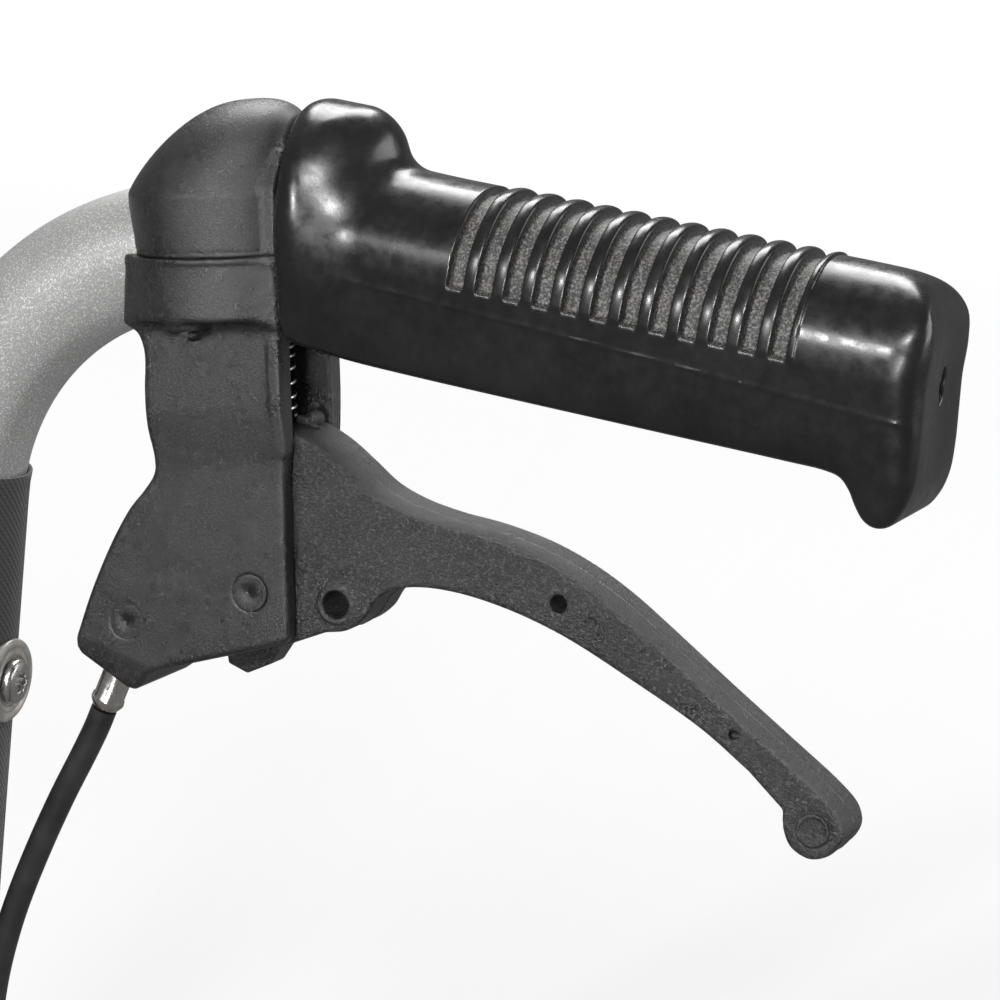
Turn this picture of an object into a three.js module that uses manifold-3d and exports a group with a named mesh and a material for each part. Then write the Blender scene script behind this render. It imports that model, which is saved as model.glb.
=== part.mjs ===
// Push handle with a brake lever, from a walking aid. Millimetres, +Z up.
// The origin is the centre of the leg's lower end. The leg stands along +Z, and the grip points along +X.
import * as THREE from 'three';
import { mergeVertices } from 'three/addons/utils/BufferGeometryUtils.js';
import Module from 'manifold-3d';

const solids = await Module();
solids.setup();

// ---------------------------------------------------------------- driving dimensions
const GAP = 0.3; // between pieces that touch
const TUBE_R = 12.5; // 25 mm round tube
const TUBE_WALL = 1.5;
const LEG = 190; // straight leg below the bend
const BEND_R = 55; // centreline radius of the bend
const DROOP = 3; // degrees that the grip's axis falls below level
const TILT = 11; // degrees that the brake housing leans back from the grip's axis
const TUBE_IN_GRIP = 118; // length of tube past the bend
const BEND_STEPS = 12;
const BOLT_HOLE_Z = 24;
const BOLT_HOLE_R = 4;
const PLUG_FLANGE = 1.7;

const SLEEVE = { low: 106, high: 199, wall: 0.7 };
const WASHER = { z: 155.6, radius: 8.2, proud: 1.3, recess: 0.5 };
const SCREW = { head: 4.4, shank: 2.4, tip: 8 };

const COLLAR_R = 18.5; // upright round collar that the tube passes through
const COLLAR_X = -4.4;
const SKIRT_R = 19.1; // the band below the joint is a little wider
const SKIRT_X = -4.9;
const COLLAR_LOW = -10.9;
const COLLAR_SPLIT = 0.6;
const COLLAR_HIGH = 11.8;
const DOME_HIGH = 28.2;
const COLLAR_RIGHT = 9.2;
const FORK_Y = 13; // half the width over the two cheeks
const SLOT_Y = 8.3; // half the width between them
const SLOT_ROOF = -15.6;
const CLAMP_SCREW = { x: -7, y: 15, head: 2.3, shank: 1.3 };

const PIVOT = [13.6, -59.5]; // lever pivot, along and across the grip's axis
const GUIDE = [-10.4, -70.6]; // guide pin of the inner wire
const NIPPLE = [10.8, -73.6]; // cable nipple in the lever's arm
const PIN_R = 3.2;
const ROLLER_R = 2.9;
const WIRE_R = 0.7;
const LEVER_Y = 7.3; // half the lever's thickness at its root
const LEVER_TAPER = 0.14; // share of it lost by the tip
const ARM_Y = 3.4; // half the width of the arm that holds the nipple

const FERRULE = { radius: 2.95, inside: 5.6, outside: 12 };
const BOSS_MOUTH = [-30.2, -75.8]; // where the casing leaves the housing, in the housing's frame
const CASING_TURN = 26.06; // degrees between the casing and the housing's upright
const CABLE_R = 2.5;

const SPRING = { x: 3.35, high: -16.4, low: -29.9, radius: 3.4, wire: 0.42, turns: 5.5 };

const GRIP_START = 8.6;
const GRIP_END = 132.4;
const GRIP_BORE_END = 118.6;
const GRIP_MID = 3; // height of the widest line above the tube's axis

const COIL = { x: 62, y: 30, radius: 27.5, half: 5, low: 0.05 }; // half its width and half its height
const COIL_EXIT = -75; // degrees round the coil where the tail leaves its outer turn
const TAIL = { straight: 56, ferrule: 12, wire: 50 };
const COIL_STRAP = { half: 2, thick: 1.3 };

// ---------------------------------------------------------------- small helpers
const radians = THREE.MathUtils.degToRad;
const vec = (x, y, z) => new THREE.Vector3(x, y, z);
const smooth = THREE.MathUtils.smoothstep;

function weld(geometry) {
  const bare = geometry.clone();
  for (const name of Object.keys(bare.attributes)) {
    if (name !== 'position') bare.deleteAttribute(name);
  }
  return mergeVertices(bare, 1e-4);
}

function toSolid(geometry) {
  const { index, attributes } = weld(geometry);
  const mesh = new solids.Mesh({
    numProp: 3,
    vertProperties: Float32Array.from(attributes.position.array),
    triVerts: Uint32Array.from(index.array),
  });
  mesh.merge();
  return new solids.Manifold(mesh);
}

function toGeometry(solid) {
  const mesh = solid.getMesh();
  const geometry = new THREE.BufferGeometry();
  geometry.setAttribute('position', new THREE.BufferAttribute(Float32Array.from(mesh.vertProperties), 3));
  geometry.setIndex(Array.from(mesh.triVerts));
  geometry.computeVertexNormals();
  return geometry;
}

const join = (first, ...rest) => toGeometry(rest.reduce((sum, g) => sum.add(toSolid(g)), toSolid(first)));
const cut = (first, ...rest) => toGeometry(rest.reduce((left, g) => left.subtract(toSolid(g)), toSolid(first)));
const common = (first, ...rest) => toGeometry(rest.reduce((both, g) => both.intersect(toSolid(g)), toSolid(first)));

function box(low, high) {
  const size = high.map((value, i) => value - low[i]);
  return new THREE.BoxGeometry(...size).translate(...low.map((value, i) => value + size[i] / 2));
}

// A round bar along Y, Z or X, from one end to the other.
function barY(radius, x, z, from, to, sides = 28) {
  return new THREE.CylinderGeometry(radius, radius, to - from, sides).translate(x, (from + to) / 2, z);
}
function barZ(radius, x, y, from, to, sides = 28) {
  return new THREE.CylinderGeometry(radius, radius, to - from, sides)
    .rotateX(Math.PI / 2)
    .translate(x, y, (from + to) / 2);
}
function barX(radius, from, to, sides = 28) {
  return new THREE.CylinderGeometry(radius, radius, to - from, sides)
    .rotateZ(Math.PI / 2)
    .translate((from + to) / 2, 0, 0);
}

// A side view, drawn along X and up Z, thickened between two places on Y.
function plate(shape, from, to, curveSegments = 8) {
  return new THREE.ExtrudeGeometry(shape, { depth: to - from, bevelEnabled: false, curveSegments })
    .rotateX(Math.PI / 2)
    .translate(0, to, 0);
}

function polygon(points) {
  return new THREE.Shape(points.map(([x, z]) => new THREE.Vector2(x, z)));
}

// A skin over rings of equal length, closed at both ends.
function loft(rings) {
  const count = rings[0].length;
  const points = rings.flat();
  const faces = [];
  for (let ring = 0; ring + 1 < rings.length; ring += 1) {
    for (let i = 0; i < count; i += 1) {
      const a = ring * count + i;
      const b = ring * count + ((i + 1) % count);
      faces.push(a, b, b + count, a, b + count, a + count);
    }
  }
  for (const [ring, flip] of [[0, true], [rings.length - 1, false]]) {
    const centre = rings[ring].reduce((sum, p) => sum.add(p), vec(0, 0, 0)).divideScalar(count);
    const middle = points.push(centre) - 1;
    for (let i = 0; i < count; i += 1) {
      const a = ring * count + i;
      const b = ring * count + ((i + 1) % count);
      faces.push(...(flip ? [b, a, middle] : [a, b, middle]));
    }
  }
  const geometry = new THREE.BufferGeometry().setFromPoints(points);
  geometry.setIndex(faces);
  return geometry;
}

const plastic = { color: 0x1d1d1f, roughness: 0.55, metalness: 0 };
const satin = { color: 0x161618, roughness: 0.35, metalness: 0 };
const steel = { color: 0xb4b6b8, roughness: 0.3, metalness: 1 };
const silver = { color: 0xb9bbbd, roughness: 0.4, metalness: 0.9 };
const fabric = { color: 0x121213, roughness: 0.95, metalness: 0 };
const casing = { color: 0x0c0c0d, roughness: 0.45, metalness: 0 };
const clay = { color: 0x8f8b86, roughness: 0.5, metalness: 0.1 };

function piece(name, geometry, finish) {
  const mesh = new THREE.Mesh(geometry, new THREE.MeshStandardMaterial(finish));
  mesh.name = name;
  return mesh;
}

// ---------------------------------------------------------------- frames
const bendEnd = vec(
  BEND_R + BEND_R * Math.sin(radians(DROOP)), 0, LEG + BEND_R * Math.cos(radians(DROOP)),
);

const handle = new THREE.Group();
const head = new THREE.Group(); // X runs along the grip
head.position.copy(bendEnd);
head.rotation.y = radians(DROOP);
handle.add(head);
const housing = new THREE.Group(); // Z runs up the housing
housing.rotation.y = radians(-TILT);
head.add(housing);
handle.updateMatrixWorld(true);

// A geometry in the row's frame, as one group sees it.
const seenFrom = (group, geometry) => geometry.clone().applyMatrix4(group.matrixWorld.clone().invert());
// A place in the grip's plane, as the housing sees it.
function onHousing([x, z]) {
  const turn = radians(TILT);
  return [x * Math.cos(turn) + z * Math.sin(turn), z * Math.cos(turn) - x * Math.sin(turn)];
}
// A place in the housing's plane, as the row sees it.
const inRow = ([x, z], y = 0) => housing.localToWorld(vec(x, y, z));

// ---------------------------------------------------------------- tube
// Straight leg, bend and straight stub. Each straight takes one step, and the bend takes the rest.
class HandlePath extends THREE.Curve {
  constructor(from, to) {
    super();
    this.from = from;
    this.to = to;
  }
  getPoint(t) {
    const share = 1 / (BEND_STEPS + 2);
    if (t < share) return vec(0, 0, THREE.MathUtils.lerp(this.from, LEG, t / share));
    if (t > 1 - share) {
      const along = ((t - 1 + share) / share) * this.to;
      return vec(
        bendEnd.x + along * Math.cos(radians(DROOP)), 0, bendEnd.z - along * Math.sin(radians(DROOP)),
      );
    }
    const turn = radians(90 + DROOP) * ((t - share) / (1 - 2 * share));
    return vec(BEND_R - BEND_R * Math.cos(turn), 0, LEG + BEND_R * Math.sin(turn));
  }
  getUtoTmapping(u) {
    return u;
  }
}

function sweptRing(outer, inner, from, to, sides) {
  const shape = new THREE.Shape().absarc(0, 0, outer, 0, 2 * Math.PI);
  if (inner > 0) shape.holes.push(new THREE.Path().absarc(0, 0, inner, 0, 2 * Math.PI, true));
  return new THREE.ExtrudeGeometry(shape, {
    steps: BEND_STEPS + 2, curveSegments: sides / 2, extrudePath: new HandlePath(from, to),
  });
}

const tubeSpace = sweptRing(TUBE_R + GAP, 0, SLEEVE.high, TUBE_IN_GRIP + 0.3, 32);

function makeTube() {
  const tube = sweptRing(TUBE_R, TUBE_R - TUBE_WALL, PLUG_FLANGE + GAP, TUBE_IN_GRIP, 32);
  const boltHole = barY(BOLT_HOLE_R, 0, BOLT_HOLE_Z, -20, 20);
  return piece('handle_tube', cut(tube, boltHole, screwBar(SCREW.shank + GAP, 5, 20)), silver);
}

function makeTubePlug() {
  const stem = TUBE_R - TUBE_WALL - GAP;
  const profile = [
    [0, 0], [TUBE_R - 0.6, 0], [TUBE_R, 0.6], [TUBE_R, PLUG_FLANGE], [stem, PLUG_FLANGE],
    [stem, 13], [stem - 1, 14.5], [stem - 2.5, 14.5], [stem - 2.5, 3.5], [0, 3.5],
  ];
  return piece('tube_end_plug', lathe(profile, 32), plastic);
}

// A turned piece about Z, from [radius, height] points.
function lathe(profile, sides) {
  const points = profile.map(([radius, height]) => new THREE.Vector2(radius, height));
  return new THREE.LatheGeometry(points, sides).rotateX(Math.PI / 2);
}

// ---------------------------------------------------------------- sleeve and its screw
// A bar that points out of the leg at the screw, between two distances from the leg's axis.
function screwBar(radius, from, to, sides = 24) {
  return barX(radius, from, to, sides).translate(0, 0, WASHER.z);
}

const sleeveR = TUBE_R + GAP + SLEEVE.wall;
const washerFace = sleeveR + WASHER.proud;

function makeSleeve() {
  const outer = sweptRing(sleeveR, 0, SLEEVE.low, 20, 36);
  const inner = sweptRing(TUBE_R + GAP, 0, SLEEVE.low - 5, 25, 36);
  const reach = box([-40, -40, SLEEVE.low - 1], [40, 40, SLEEVE.high]);
  return piece('fabric_sleeve', cut(common(outer, reach), inner, screwBar(SCREW.shank + GAP, 5, 20)), fabric);
}

function makeWasher() {
  const disc = screwBar(WASHER.radius, TUBE_R - 2, washerFace, 36);
  const seat = screwBar(SCREW.head + 0.6, washerFace - WASHER.recess, washerFace + 5);
  const saddle = barZ(sleeveR + GAP, 0, 0, WASHER.z - 20, WASHER.z + 20, 48);
  return piece('sleeve_washer', cut(disc, saddle, seat, screwBar(SCREW.shank + GAP, 5, 30)), clay);
}

function makeSleeveScrew() {
  const headLow = washerFace - WASHER.recess + GAP;
  const shank = screwBar(SCREW.shank, SCREW.tip, headLow + 0.1);
  const headSolid = screwBar(SCREW.head, headLow, headLow + 2.2, 32);
  const socket = screwBar(1.9, headLow + 1, headLow + 5, 6);
  return piece('sleeve_screw', cut(join(headSolid, shank), socket), steel);
}

// ---------------------------------------------------------------- brake housing
// Everything here is drawn in the housing's frame.
function collarBand(radius, x, low, high) {
  return common(barZ(radius, x, 0, low, high, 40), box([-60, -60, low - 1], [COLLAR_RIGHT, 60, high + 1]));
}

// The dome shrinks from the crease to its crown, and its middle moves towards the grip.
function dome(scale, right) {
  const rings = [];
  for (let step = 0; step <= 9; step += 1) {
    const t = Math.min(0.995, (step / 9) ** 0.8);
    const radius = scale * COLLAR_R * (1 - t) ** 0.37;
    const middle = COLLAR_X + 6 * t ** 1.5;
    const z = COLLAR_HIGH + t * (DOME_HIGH - COLLAR_HIGH) * scale;
    rings.push(Array.from({ length: 40 }, (_, i) => {
      const turn = (i / 40) * 2 * Math.PI;
      return vec(middle + radius * Math.cos(turn), radius * Math.sin(turn), z);
    }));
  }
  return common(loft(rings), box([-60, -60, 0], [right, 60, 60]));
}

const clampHoles = (radius, low, high) => [-1, 1].map(
  (side) => barZ(radius, CLAMP_SCREW.x, side * CLAMP_SCREW.y, low, high, 16),
);

function makeCap() {
  const band = collarBand(COLLAR_R, COLLAR_X, COLLAR_SPLIT + GAP, COLLAR_HIGH);
  const shoulder = box([0, -13.2, COLLAR_SPLIT + GAP], [20, 13.2, COLLAR_HIGH]);
  const grown = join(band, shoulder, dome(1, COLLAR_RIGHT), dome(0.84, 20));
  const guardSpace = seenFromHousing(box([GRIP_START - GAP, -40, -40], [60, 40, 60]));
  const screws = clampHoles(CLAMP_SCREW.shank + GAP, -5, 9.5);
  return piece('housing_cap', cut(grown, seenFrom(housing, tubeSpace), guardSpace, ...screws), plastic);
}

// A geometry in the grip's frame, as the housing sees it.
function seenFromHousing(geometry) {
  return geometry.rotateY(radians(TILT));
}

function housingOutline() {
  const shape = new THREE.Shape();
  shape.moveTo(10.6, -6);
  shape.lineTo(-19.5, -6);
  shape.lineTo(-20.4, -11.2);
  shape.splineThru([
    [-17.6, -15], [-17.1, -20], [-17.4, -28], [-16.9, -34], [-16.7, -38.2], [-18, -41.6], [-21.4, -45.4],
    [-24.8, -51.6], [-30.2, -62.2], [-34.8, -71.6],
  ].map(([x, z]) => new THREE.Vector2(x, z)));
  for (const [x, z] of [[-34.5, -73.2], [-24.4, -79.9], [-22.6, -79.9], [-20.9, -77.4], [-13.5, -75.5]]) {
    shape.lineTo(x, z);
  }
  shape.lineTo(8.4, -70.4);
  shape.lineTo(9.6, -68.8);
  shape.lineTo(9.8, -50);
  return shape;
}

// The slot between the cheeks, open towards the grip and below.
function slotOutline() {
  return polygon([
    [30, SLOT_ROOF], [-12.6, SLOT_ROOF], [-12.6, -34], [-12, -39.6], [-17.4, -47], [-21.4, -53.4],
    [-26.2, -62.6], [-29.4, -67.2], [-21.6, -72.3], [-15.8, -73.6], [-14, -95], [30, -95],
  ]);
}

// A bar along the cable casing, from the boss's mouth: positive places lie outside the housing.
function casingBar(radius, from, to, sides = 28) {
  return barZ(radius, 0, 0, -to, -from, sides)
    .rotateY(radians(CASING_TURN))
    .translate(BOSS_MOUTH[0], 0, BOSS_MOUTH[1]);
}

function makeHousing() {
  const skirt = collarBand(SKIRT_R, SKIRT_X, COLLAR_LOW, COLLAR_SPLIT);
  const fork = plate(housingOutline(), -FORK_Y, FORK_Y, 3);
  const slot = plate(slotOutline(), -SLOT_Y, SLOT_Y);
  const [pivotX, pivotZ] = onHousing(PIVOT);
  const [guideX, guideZ] = onHousing(GUIDE);
  const holes = [
    barY(PIN_R + GAP, pivotX, pivotZ, -20, 20),
    barY(PIN_R + GAP, guideX, guideZ, -20, -FORK_Y + 2.2),
    barY(PIN_R + GAP, guideX, guideZ, FORK_Y - 2.2, 20),
    barY(1.6 + GAP, guideX, guideZ, -20, 20),
    barY(ROLLER_R + 1.6, guideX, guideZ, -SLOT_Y, SLOT_Y),
    casingBar(FERRULE.radius + GAP, -FERRULE.inside - GAP, 20),
    casingBar(WIRE_R + 0.5, -FERRULE.inside - 6, 20, 12),
  ];
  const screws = [
    ...clampHoles(CLAMP_SCREW.shank + GAP, -30, 5),
    ...clampHoles(CLAMP_SCREW.head + GAP, COLLAR_LOW - 2.4, COLLAR_LOW + GAP),
  ];
  return piece(
    'brake_housing',
    cut(join(skirt, fork), seenFrom(housing, tubeSpace), slot, ...holes, ...screws),
    plastic,
  );
}

function makeClampScrew(name, side) {
  const { x, y, head: headR, shank } = CLAMP_SCREW;
  const headSolid = barZ(headR, x, side * y, COLLAR_LOW - 2, COLLAR_LOW, 20);
  const stem = barZ(shank, x, side * y, COLLAR_LOW - 0.5, 8.5, 16);
  const socket = barZ(1.1, x, side * y, COLLAR_LOW - 4, COLLAR_LOW - 0.9, 6);
  return piece(name, cut(join(headSolid, stem), socket), steel);
}

function makePivotPin() {
  const [x, z] = onHousing(PIVOT);
  return piece('lever_pin', barY(PIN_R, x, z, -FORK_Y + 0.4, FORK_Y - 0.4), plastic);
}

function makeGuidePin() {
  const [x, z] = onHousing(GUIDE);
  const shank = barY(1.6, x, z, -FORK_Y + 1, FORK_Y - 1, 20);
  const near = barY(PIN_R, x, z, -FORK_Y + 0.4, -FORK_Y + 1.9);
  const far = barY(PIN_R, x, z, FORK_Y - 1.9, FORK_Y - 0.4);
  return piece('guide_pin', join(shank, near, far), plastic);
}

function makeRoller() {
  const [x, z] = onHousing(GUIDE);
  const profile = [[1.6 + GAP, -4.5], [ROLLER_R + 1, -4.5], [ROLLER_R + 1, -3.5], [ROLLER_R, -1.4],
    [ROLLER_R, 1.4], [ROLLER_R + 1, 3.5], [ROLLER_R + 1, 4.5], [1.6 + GAP, 4.5], [1.6 + GAP, -4.5]];
  const wheel = lathe(profile, 28).rotateX(Math.PI / 2).translate(x, 0, z);
  return piece('guide_roller', wheel, plastic);
}

// ---------------------------------------------------------------- lever
// Drawn in the grip's frame.
function leverOutline() {
  const through = (points) => points.map(([x, z]) => new THREE.Vector2(x, z));
  const shape = new THREE.Shape();
  shape.moveTo(5, -30);
  shape.lineTo(12.5, -29.2);
  shape.splineThru(through([
    [16, -29.4], [21.5, -31.2], [27, -34.2], [32.3, -37.3], [37.9, -39], [45, -39.9], [54.3, -40.2],
    [63.9, -41.4], [72.6, -43.8], [80.6, -47.2], [88, -51.2], [102, -59.2], [114, -65.9], [125, -72.2],
  ]));
  shape.splineThru(through([
    [128.4, -75], [129.6, -78.2], [128, -81.8], [124.4, -83.6], [120.6, -82.4], [118.7, -79.6],
    [118, -76],
  ]));
  shape.splineThru(through([
    [110.6, -70.7], [101, -65.4], [87.1, -59.8], [73, -54.8], [62, -52.4], [52, -51.6], [44.7, -52.2],
    [40.2, -53.6], [37, -56],
  ]));
  shape.splineThru(through([[34.8, -60.8], [31.4, -63.6], [27.4, -64.8]]));
  for (const [x, z] of [[20.4, -68.8], [17.4, -71], [15.8, -74.4], [11.4, -77.3], [7.2, -76.2]]) {
    shape.lineTo(x, z);
  }
  for (const [x, z] of [[6.2, -72.6], [6.4, -66], [5.4, -58], [4.6, -44], [4.4, -33]]) shape.lineTo(x, z);
  return shape;
}

function makeLever() {
  const blade = plate(leverOutline(), -LEVER_Y, LEVER_Y, 3);
  const places = blade.attributes.position;
  for (let i = 0; i < places.count; i += 1) {
    places.setY(i, places.getY(i) * (1 - LEVER_TAPER * smooth(places.getX(i), 40, 125)));
  }
  const besideArm = [-1, 1].map((side) => box(
    [-10, Math.min(side * ARM_Y, side * 20), -90], [17, Math.max(side * ARM_Y, side * 20), -69],
  ));
  const holes = [
    barY(PIN_R + GAP, ...PIVOT, -20, 20),
    barY(2.5, 28.9, -59, -20, 20, 20),
    barY(1.6, 71.2, -49.1, -20, 20, 12),
    barY(2.2 + GAP, ...NIPPLE, -20, 20, 20),
  ];
  const wireSlot = box([0, -1.2, NIPPLE[1] - 1.4], [NIPPLE[0], 1.2, NIPPLE[1] + 4.4]);
  const peg = barZ(2.2, 0, 0, -1, 2.6, 16).rotateY(radians(-TILT)).translate(9.3, 0, -29.8);
  const lump = new THREE.SphereGeometry(2, 12, 8).translate(15.6, 3, -28.2);
  return piece('brake_lever', cut(join(blade, peg, lump), ...holes, ...besideArm, wireSlot), plastic);
}

function makeNipple() {
  return piece('cable_nipple', barY(2.2, ...NIPPLE, -ARM_Y + 0.2, ARM_Y - 0.2, 20), steel);
}

// ---------------------------------------------------------------- spring and inner wire
class SpringPath extends THREE.Curve {
  getPoint(t) {
    const turn = t * SPRING.turns * 2 * Math.PI;
    return vec(
      SPRING.x + SPRING.radius * Math.cos(turn),
      SPRING.radius * Math.sin(turn),
      THREE.MathUtils.lerp(SPRING.low, SPRING.high, t),
    );
  }
}

function makeSpring() {
  const section = new THREE.Shape().absarc(0, 0, SPRING.wire, 0, 2 * Math.PI);
  const coil = new THREE.ExtrudeGeometry(section, {
    steps: 60, curveSegments: 3, extrudePath: new SpringPath(),
  });
  return piece('return_spring', coil, steel);
}

// The inner wire leaves the ferrule, turns over the roller and runs to the nipple.
function wireRoute() {
  const centre = onHousing(GUIDE);
  const end = onHousing(NIPPLE);
  const reach = ROLLER_R + WIRE_R + 0.2;
  const [dx, dz] = [end[0] - centre[0], end[1] - centre[1]];
  const far = Math.hypot(dx, dz);
  const leave = Math.atan2(dz, dx) + Math.acos(reach / far);
  const start = radians(180 + 22);
  const points = [];
  for (let step = 0; step <= 8; step += 1) {
    const turn = THREE.MathUtils.lerp(start, leave, step / 8);
    points.push(vec(centre[0] + reach * Math.cos(turn), 0, centre[1] + reach * Math.sin(turn)));
  }
  const last = points[points.length - 1];
  const gap = 2.2 + GAP;
  const stop = vec(end[0], 0, end[1]);
  const way = stop.clone().sub(last);
  points.push(last.clone().addScaledVector(way, 0.5));
  points.push(stop.clone().addScaledVector(way.normalize(), -gap));
  return points;
}

function cordTube(points, radius, sides, steps) {
  const section = new THREE.Shape().absarc(0, 0, radius, 0, 2 * Math.PI);
  return new THREE.ExtrudeGeometry(section, {
    steps, curveSegments: sides / 2, extrudePath: new THREE.CatmullRomCurve3(points, false, 'centripetal'),
  });
}

function makeInnerWire() {
  return piece('inner_wire', cordTube(wireRoute(), WIRE_R, 8, 20), steel);
}

function makeFerrule() {
  const { radius, inside, outside } = FERRULE;
  const barrel = join(
    casingBar(radius, -inside, outside - 0.7, 24),
    casingBar(radius + 0.25, outside - 2.2, outside - 0.9, 24),
    casingBar(radius - 0.35, outside - 1, outside, 24),
  );
  return piece('top_ferrule', cut(barrel, casingBar(WIRE_R + 0.3, -20, outside - 2, 12)), steel);
}

// ---------------------------------------------------------------- grip

// Half height above and below the widest line, and half width, at a place along the grip.
function gripSection(x) {
  const guard = smooth(x, 7, 14) * (1 - smooth(x, 18.5, 27.5));
  const hook = smooth(x, 114, 122);
  const rounding = Math.sqrt(Math.max(0.02, 1 - (Math.max(0, x - 119.5) / 13.1) ** 2.4));
  const entry = 0.78 + 0.22 * smooth(x, GRIP_START, GRIP_START + 5);
  return {
    up: (18.7 + 9.2 * guard) * entry * (0.35 + 0.65 * rounding),
    down: (17 + 9 * hook) * entry * (0.72 + 0.28 * rounding),
    half: (16.8 + 1.8 * guard) * entry * (0.6 + 0.4 * rounding),
  };
}

function gripRing(x) {
  const { up, down, half } = gripSection(x);
  const power = (value, n) => Math.sign(value) * Math.abs(value) ** (2 / n);
  return Array.from({ length: 32 }, (_, i) => {
    const turn = (i / 32) * 2 * Math.PI;
    const [c, s] = [Math.cos(turn), Math.sin(turn)];
    const n = s > 0 ? 2.2 : 3.2;
    return vec(x, half * power(c, n), GRIP_MID + (s > 0 ? up : down) * power(s, n));
  });
}

function makeGrip() {
  const places = [GRIP_START, 9.4, 10.6, 12, 14, 16.5, 19, 21, 23, 25, 28, 36, 60, 85, 110, 114, 116, 118,
    120, 122.5, 125.5, 128.5, 131, GRIP_END];
  const body = loft(places.map(gripRing));
  const bore = barX(TUBE_R + GAP, 0, GRIP_BORE_END, 32);
  const vent = barX(1, GRIP_BORE_END - 1, GRIP_END + 5, 10);
  const face = box([-80, -60, -90], [COLLAR_RIGHT + 1.6 + 0.4, 60, 30]).rotateY(radians(-TILT));
  return piece('hand_grip', cut(body, bore, vent, face), satin);
}

// ---------------------------------------------------------------- free cable
// Down beside the leg, out onto the surface that the leg stands on, and into a coil.
const casingDown = vec(-Math.sin(radians(CASING_TURN)), 0, -Math.cos(radians(CASING_TURN)))
  .applyAxisAngle(vec(0, 1, 0), radians(DROOP - TILT));

function cableStart() {
  return inRow(BOSS_MOUTH).addScaledVector(casingDown, FERRULE.outside + GAP);
}

const RUN_X = TUBE_R + GAP + CABLE_R; // the cable lies against the leg

function cableRoute() {
  const start = cableStart();
  const free = [[31.3, 144.7], [27.2, 135], [22.8, 123.2], [19.1, 111.6], [17.2, 103.6], [16, 96.4]];
  const leg = [[15.4, 89], [RUN_X, 81], [RUN_X, 72], [RUN_X, 60], [RUN_X, 48]];
  const turn = [[16.3, 35], [20, 22.5], [28, 10.5], [38, 4.4], [COIL.x - 14, CABLE_R], [COIL.x, CABLE_R]];
  const rest = [...free, ...leg, ...turn].map(([x, z]) => vec(x, 0, z));
  return [start, start.clone().addScaledVector(casingDown, 4), ...rest];
}

function coilRing(grow) {
  const { x, y, radius, half } = COIL;
  const [low, high] = [radius - half - grow, radius + half + grow];
  const profile = [[low, -grow], [high, -grow], [high, 2 * half + grow], [low, 2 * half + grow], [low, -grow]];
  return lathe(profile, 48).translate(x, y, COIL.low);
}

function makeCable() {
  return piece('brake_cable', cut(cordTube(cableRoute(), CABLE_R, 10, 40), coilRing(GAP)), casing);
}

// The cable's other end leaves the coil's top turn, comes down to the floor and ends in its fittings.
const exitTurn = radians(COIL_EXIT);
const tailWay = vec(-Math.sin(exitTurn), Math.cos(exitTurn), 0);
const tailPlace = (far, z) => vec(
  COIL.x + (COIL.radius + CABLE_R) * Math.cos(exitTurn), COIL.y + (COIL.radius + CABLE_R) * Math.sin(exitTurn), z,
).addScaledVector(tailWay, far);

function tailBar(radius, from, to, sides) {
  const length = to - from;
  return barX(radius, -length / 2, length / 2, sides)
    .rotateZ(exitTurn + Math.PI / 2)
    .translate(...tailPlace((from + to) / 2, CABLE_R + COIL.low));
}

function tailParts() {
  const low = CABLE_R + COIL.low;
  const high = low + 2 * CABLE_R;
  const route = [[0, high], [12, high - 0.6], [24, low + 2.2], [36, low + 0.4], [46, low], [TAIL.straight, low]];
  const cord = cordTube(route.map(([far, z]) => tailPlace(far, z)), CABLE_R, 10, 16);
  const ferruleEnd = TAIL.straight + TAIL.ferrule;
  const wireEnd = ferruleEnd + TAIL.wire;
  const nipple = barZ(2.4, 0, 0, 0.2, 6.2, 20).translate(...tailPlace(wireEnd + GAP + 2.4, 0));
  return [
    piece('cable_tail', cut(cord, coilRing(GAP)), casing),
    piece('end_ferrule', tailBar(2.5, TAIL.straight + GAP, ferruleEnd, 20), steel),
    piece('end_wire', tailBar(WIRE_R, ferruleEnd + GAP, wireEnd, 8), steel),
    piece('end_nipple', nipple, steel),
  ];
}

// ---------------------------------------------------------------- ties
// A strap round the leg and the cable beside it.
function makeClip(name, z) {
  const outline = (grow) => {
    const far = Math.acos((TUBE_R - CABLE_R) / RUN_X);
    const shape = new THREE.Shape();
    shape.absarc(0, 0, TUBE_R + grow, far, 2 * Math.PI - far);
    shape.absarc(RUN_X, 0, CABLE_R + grow, -far, far);
    return shape;
  };
  const band = outline(GAP + 1.3);
  band.holes.push(new THREE.Path(outline(GAP).getPoints(12)));
  const strap = new THREE.ExtrudeGeometry(band, { depth: 4.6, bevelEnabled: false, curveSegments: 12 });
  const lock = box([-16.6, -3.2, -0.4], [-13.4, 3.2, 5]);
  return piece(name, join(strap, lock).translate(0, 0, z), plastic);
}

// A strap over the coil's turns, open at the floor that the coil lies on.
function makeCoilTie() {
  const { x, y, radius, half, low } = COIL;
  const inside = half + GAP;
  const outside = inside + COIL_STRAP.thick;
  const top = 2 * half + GAP;
  const { half: wide, thick } = COIL_STRAP;
  const outer = box([radius - outside, -wide, 0], [radius + outside, wide, top + thick]);
  const inner = box([radius - inside, -wide - 1, -1], [radius + inside, wide + 1, top]);
  return piece('coil_tie', cut(outer, inner).translate(x, y, low), plastic);
}

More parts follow.
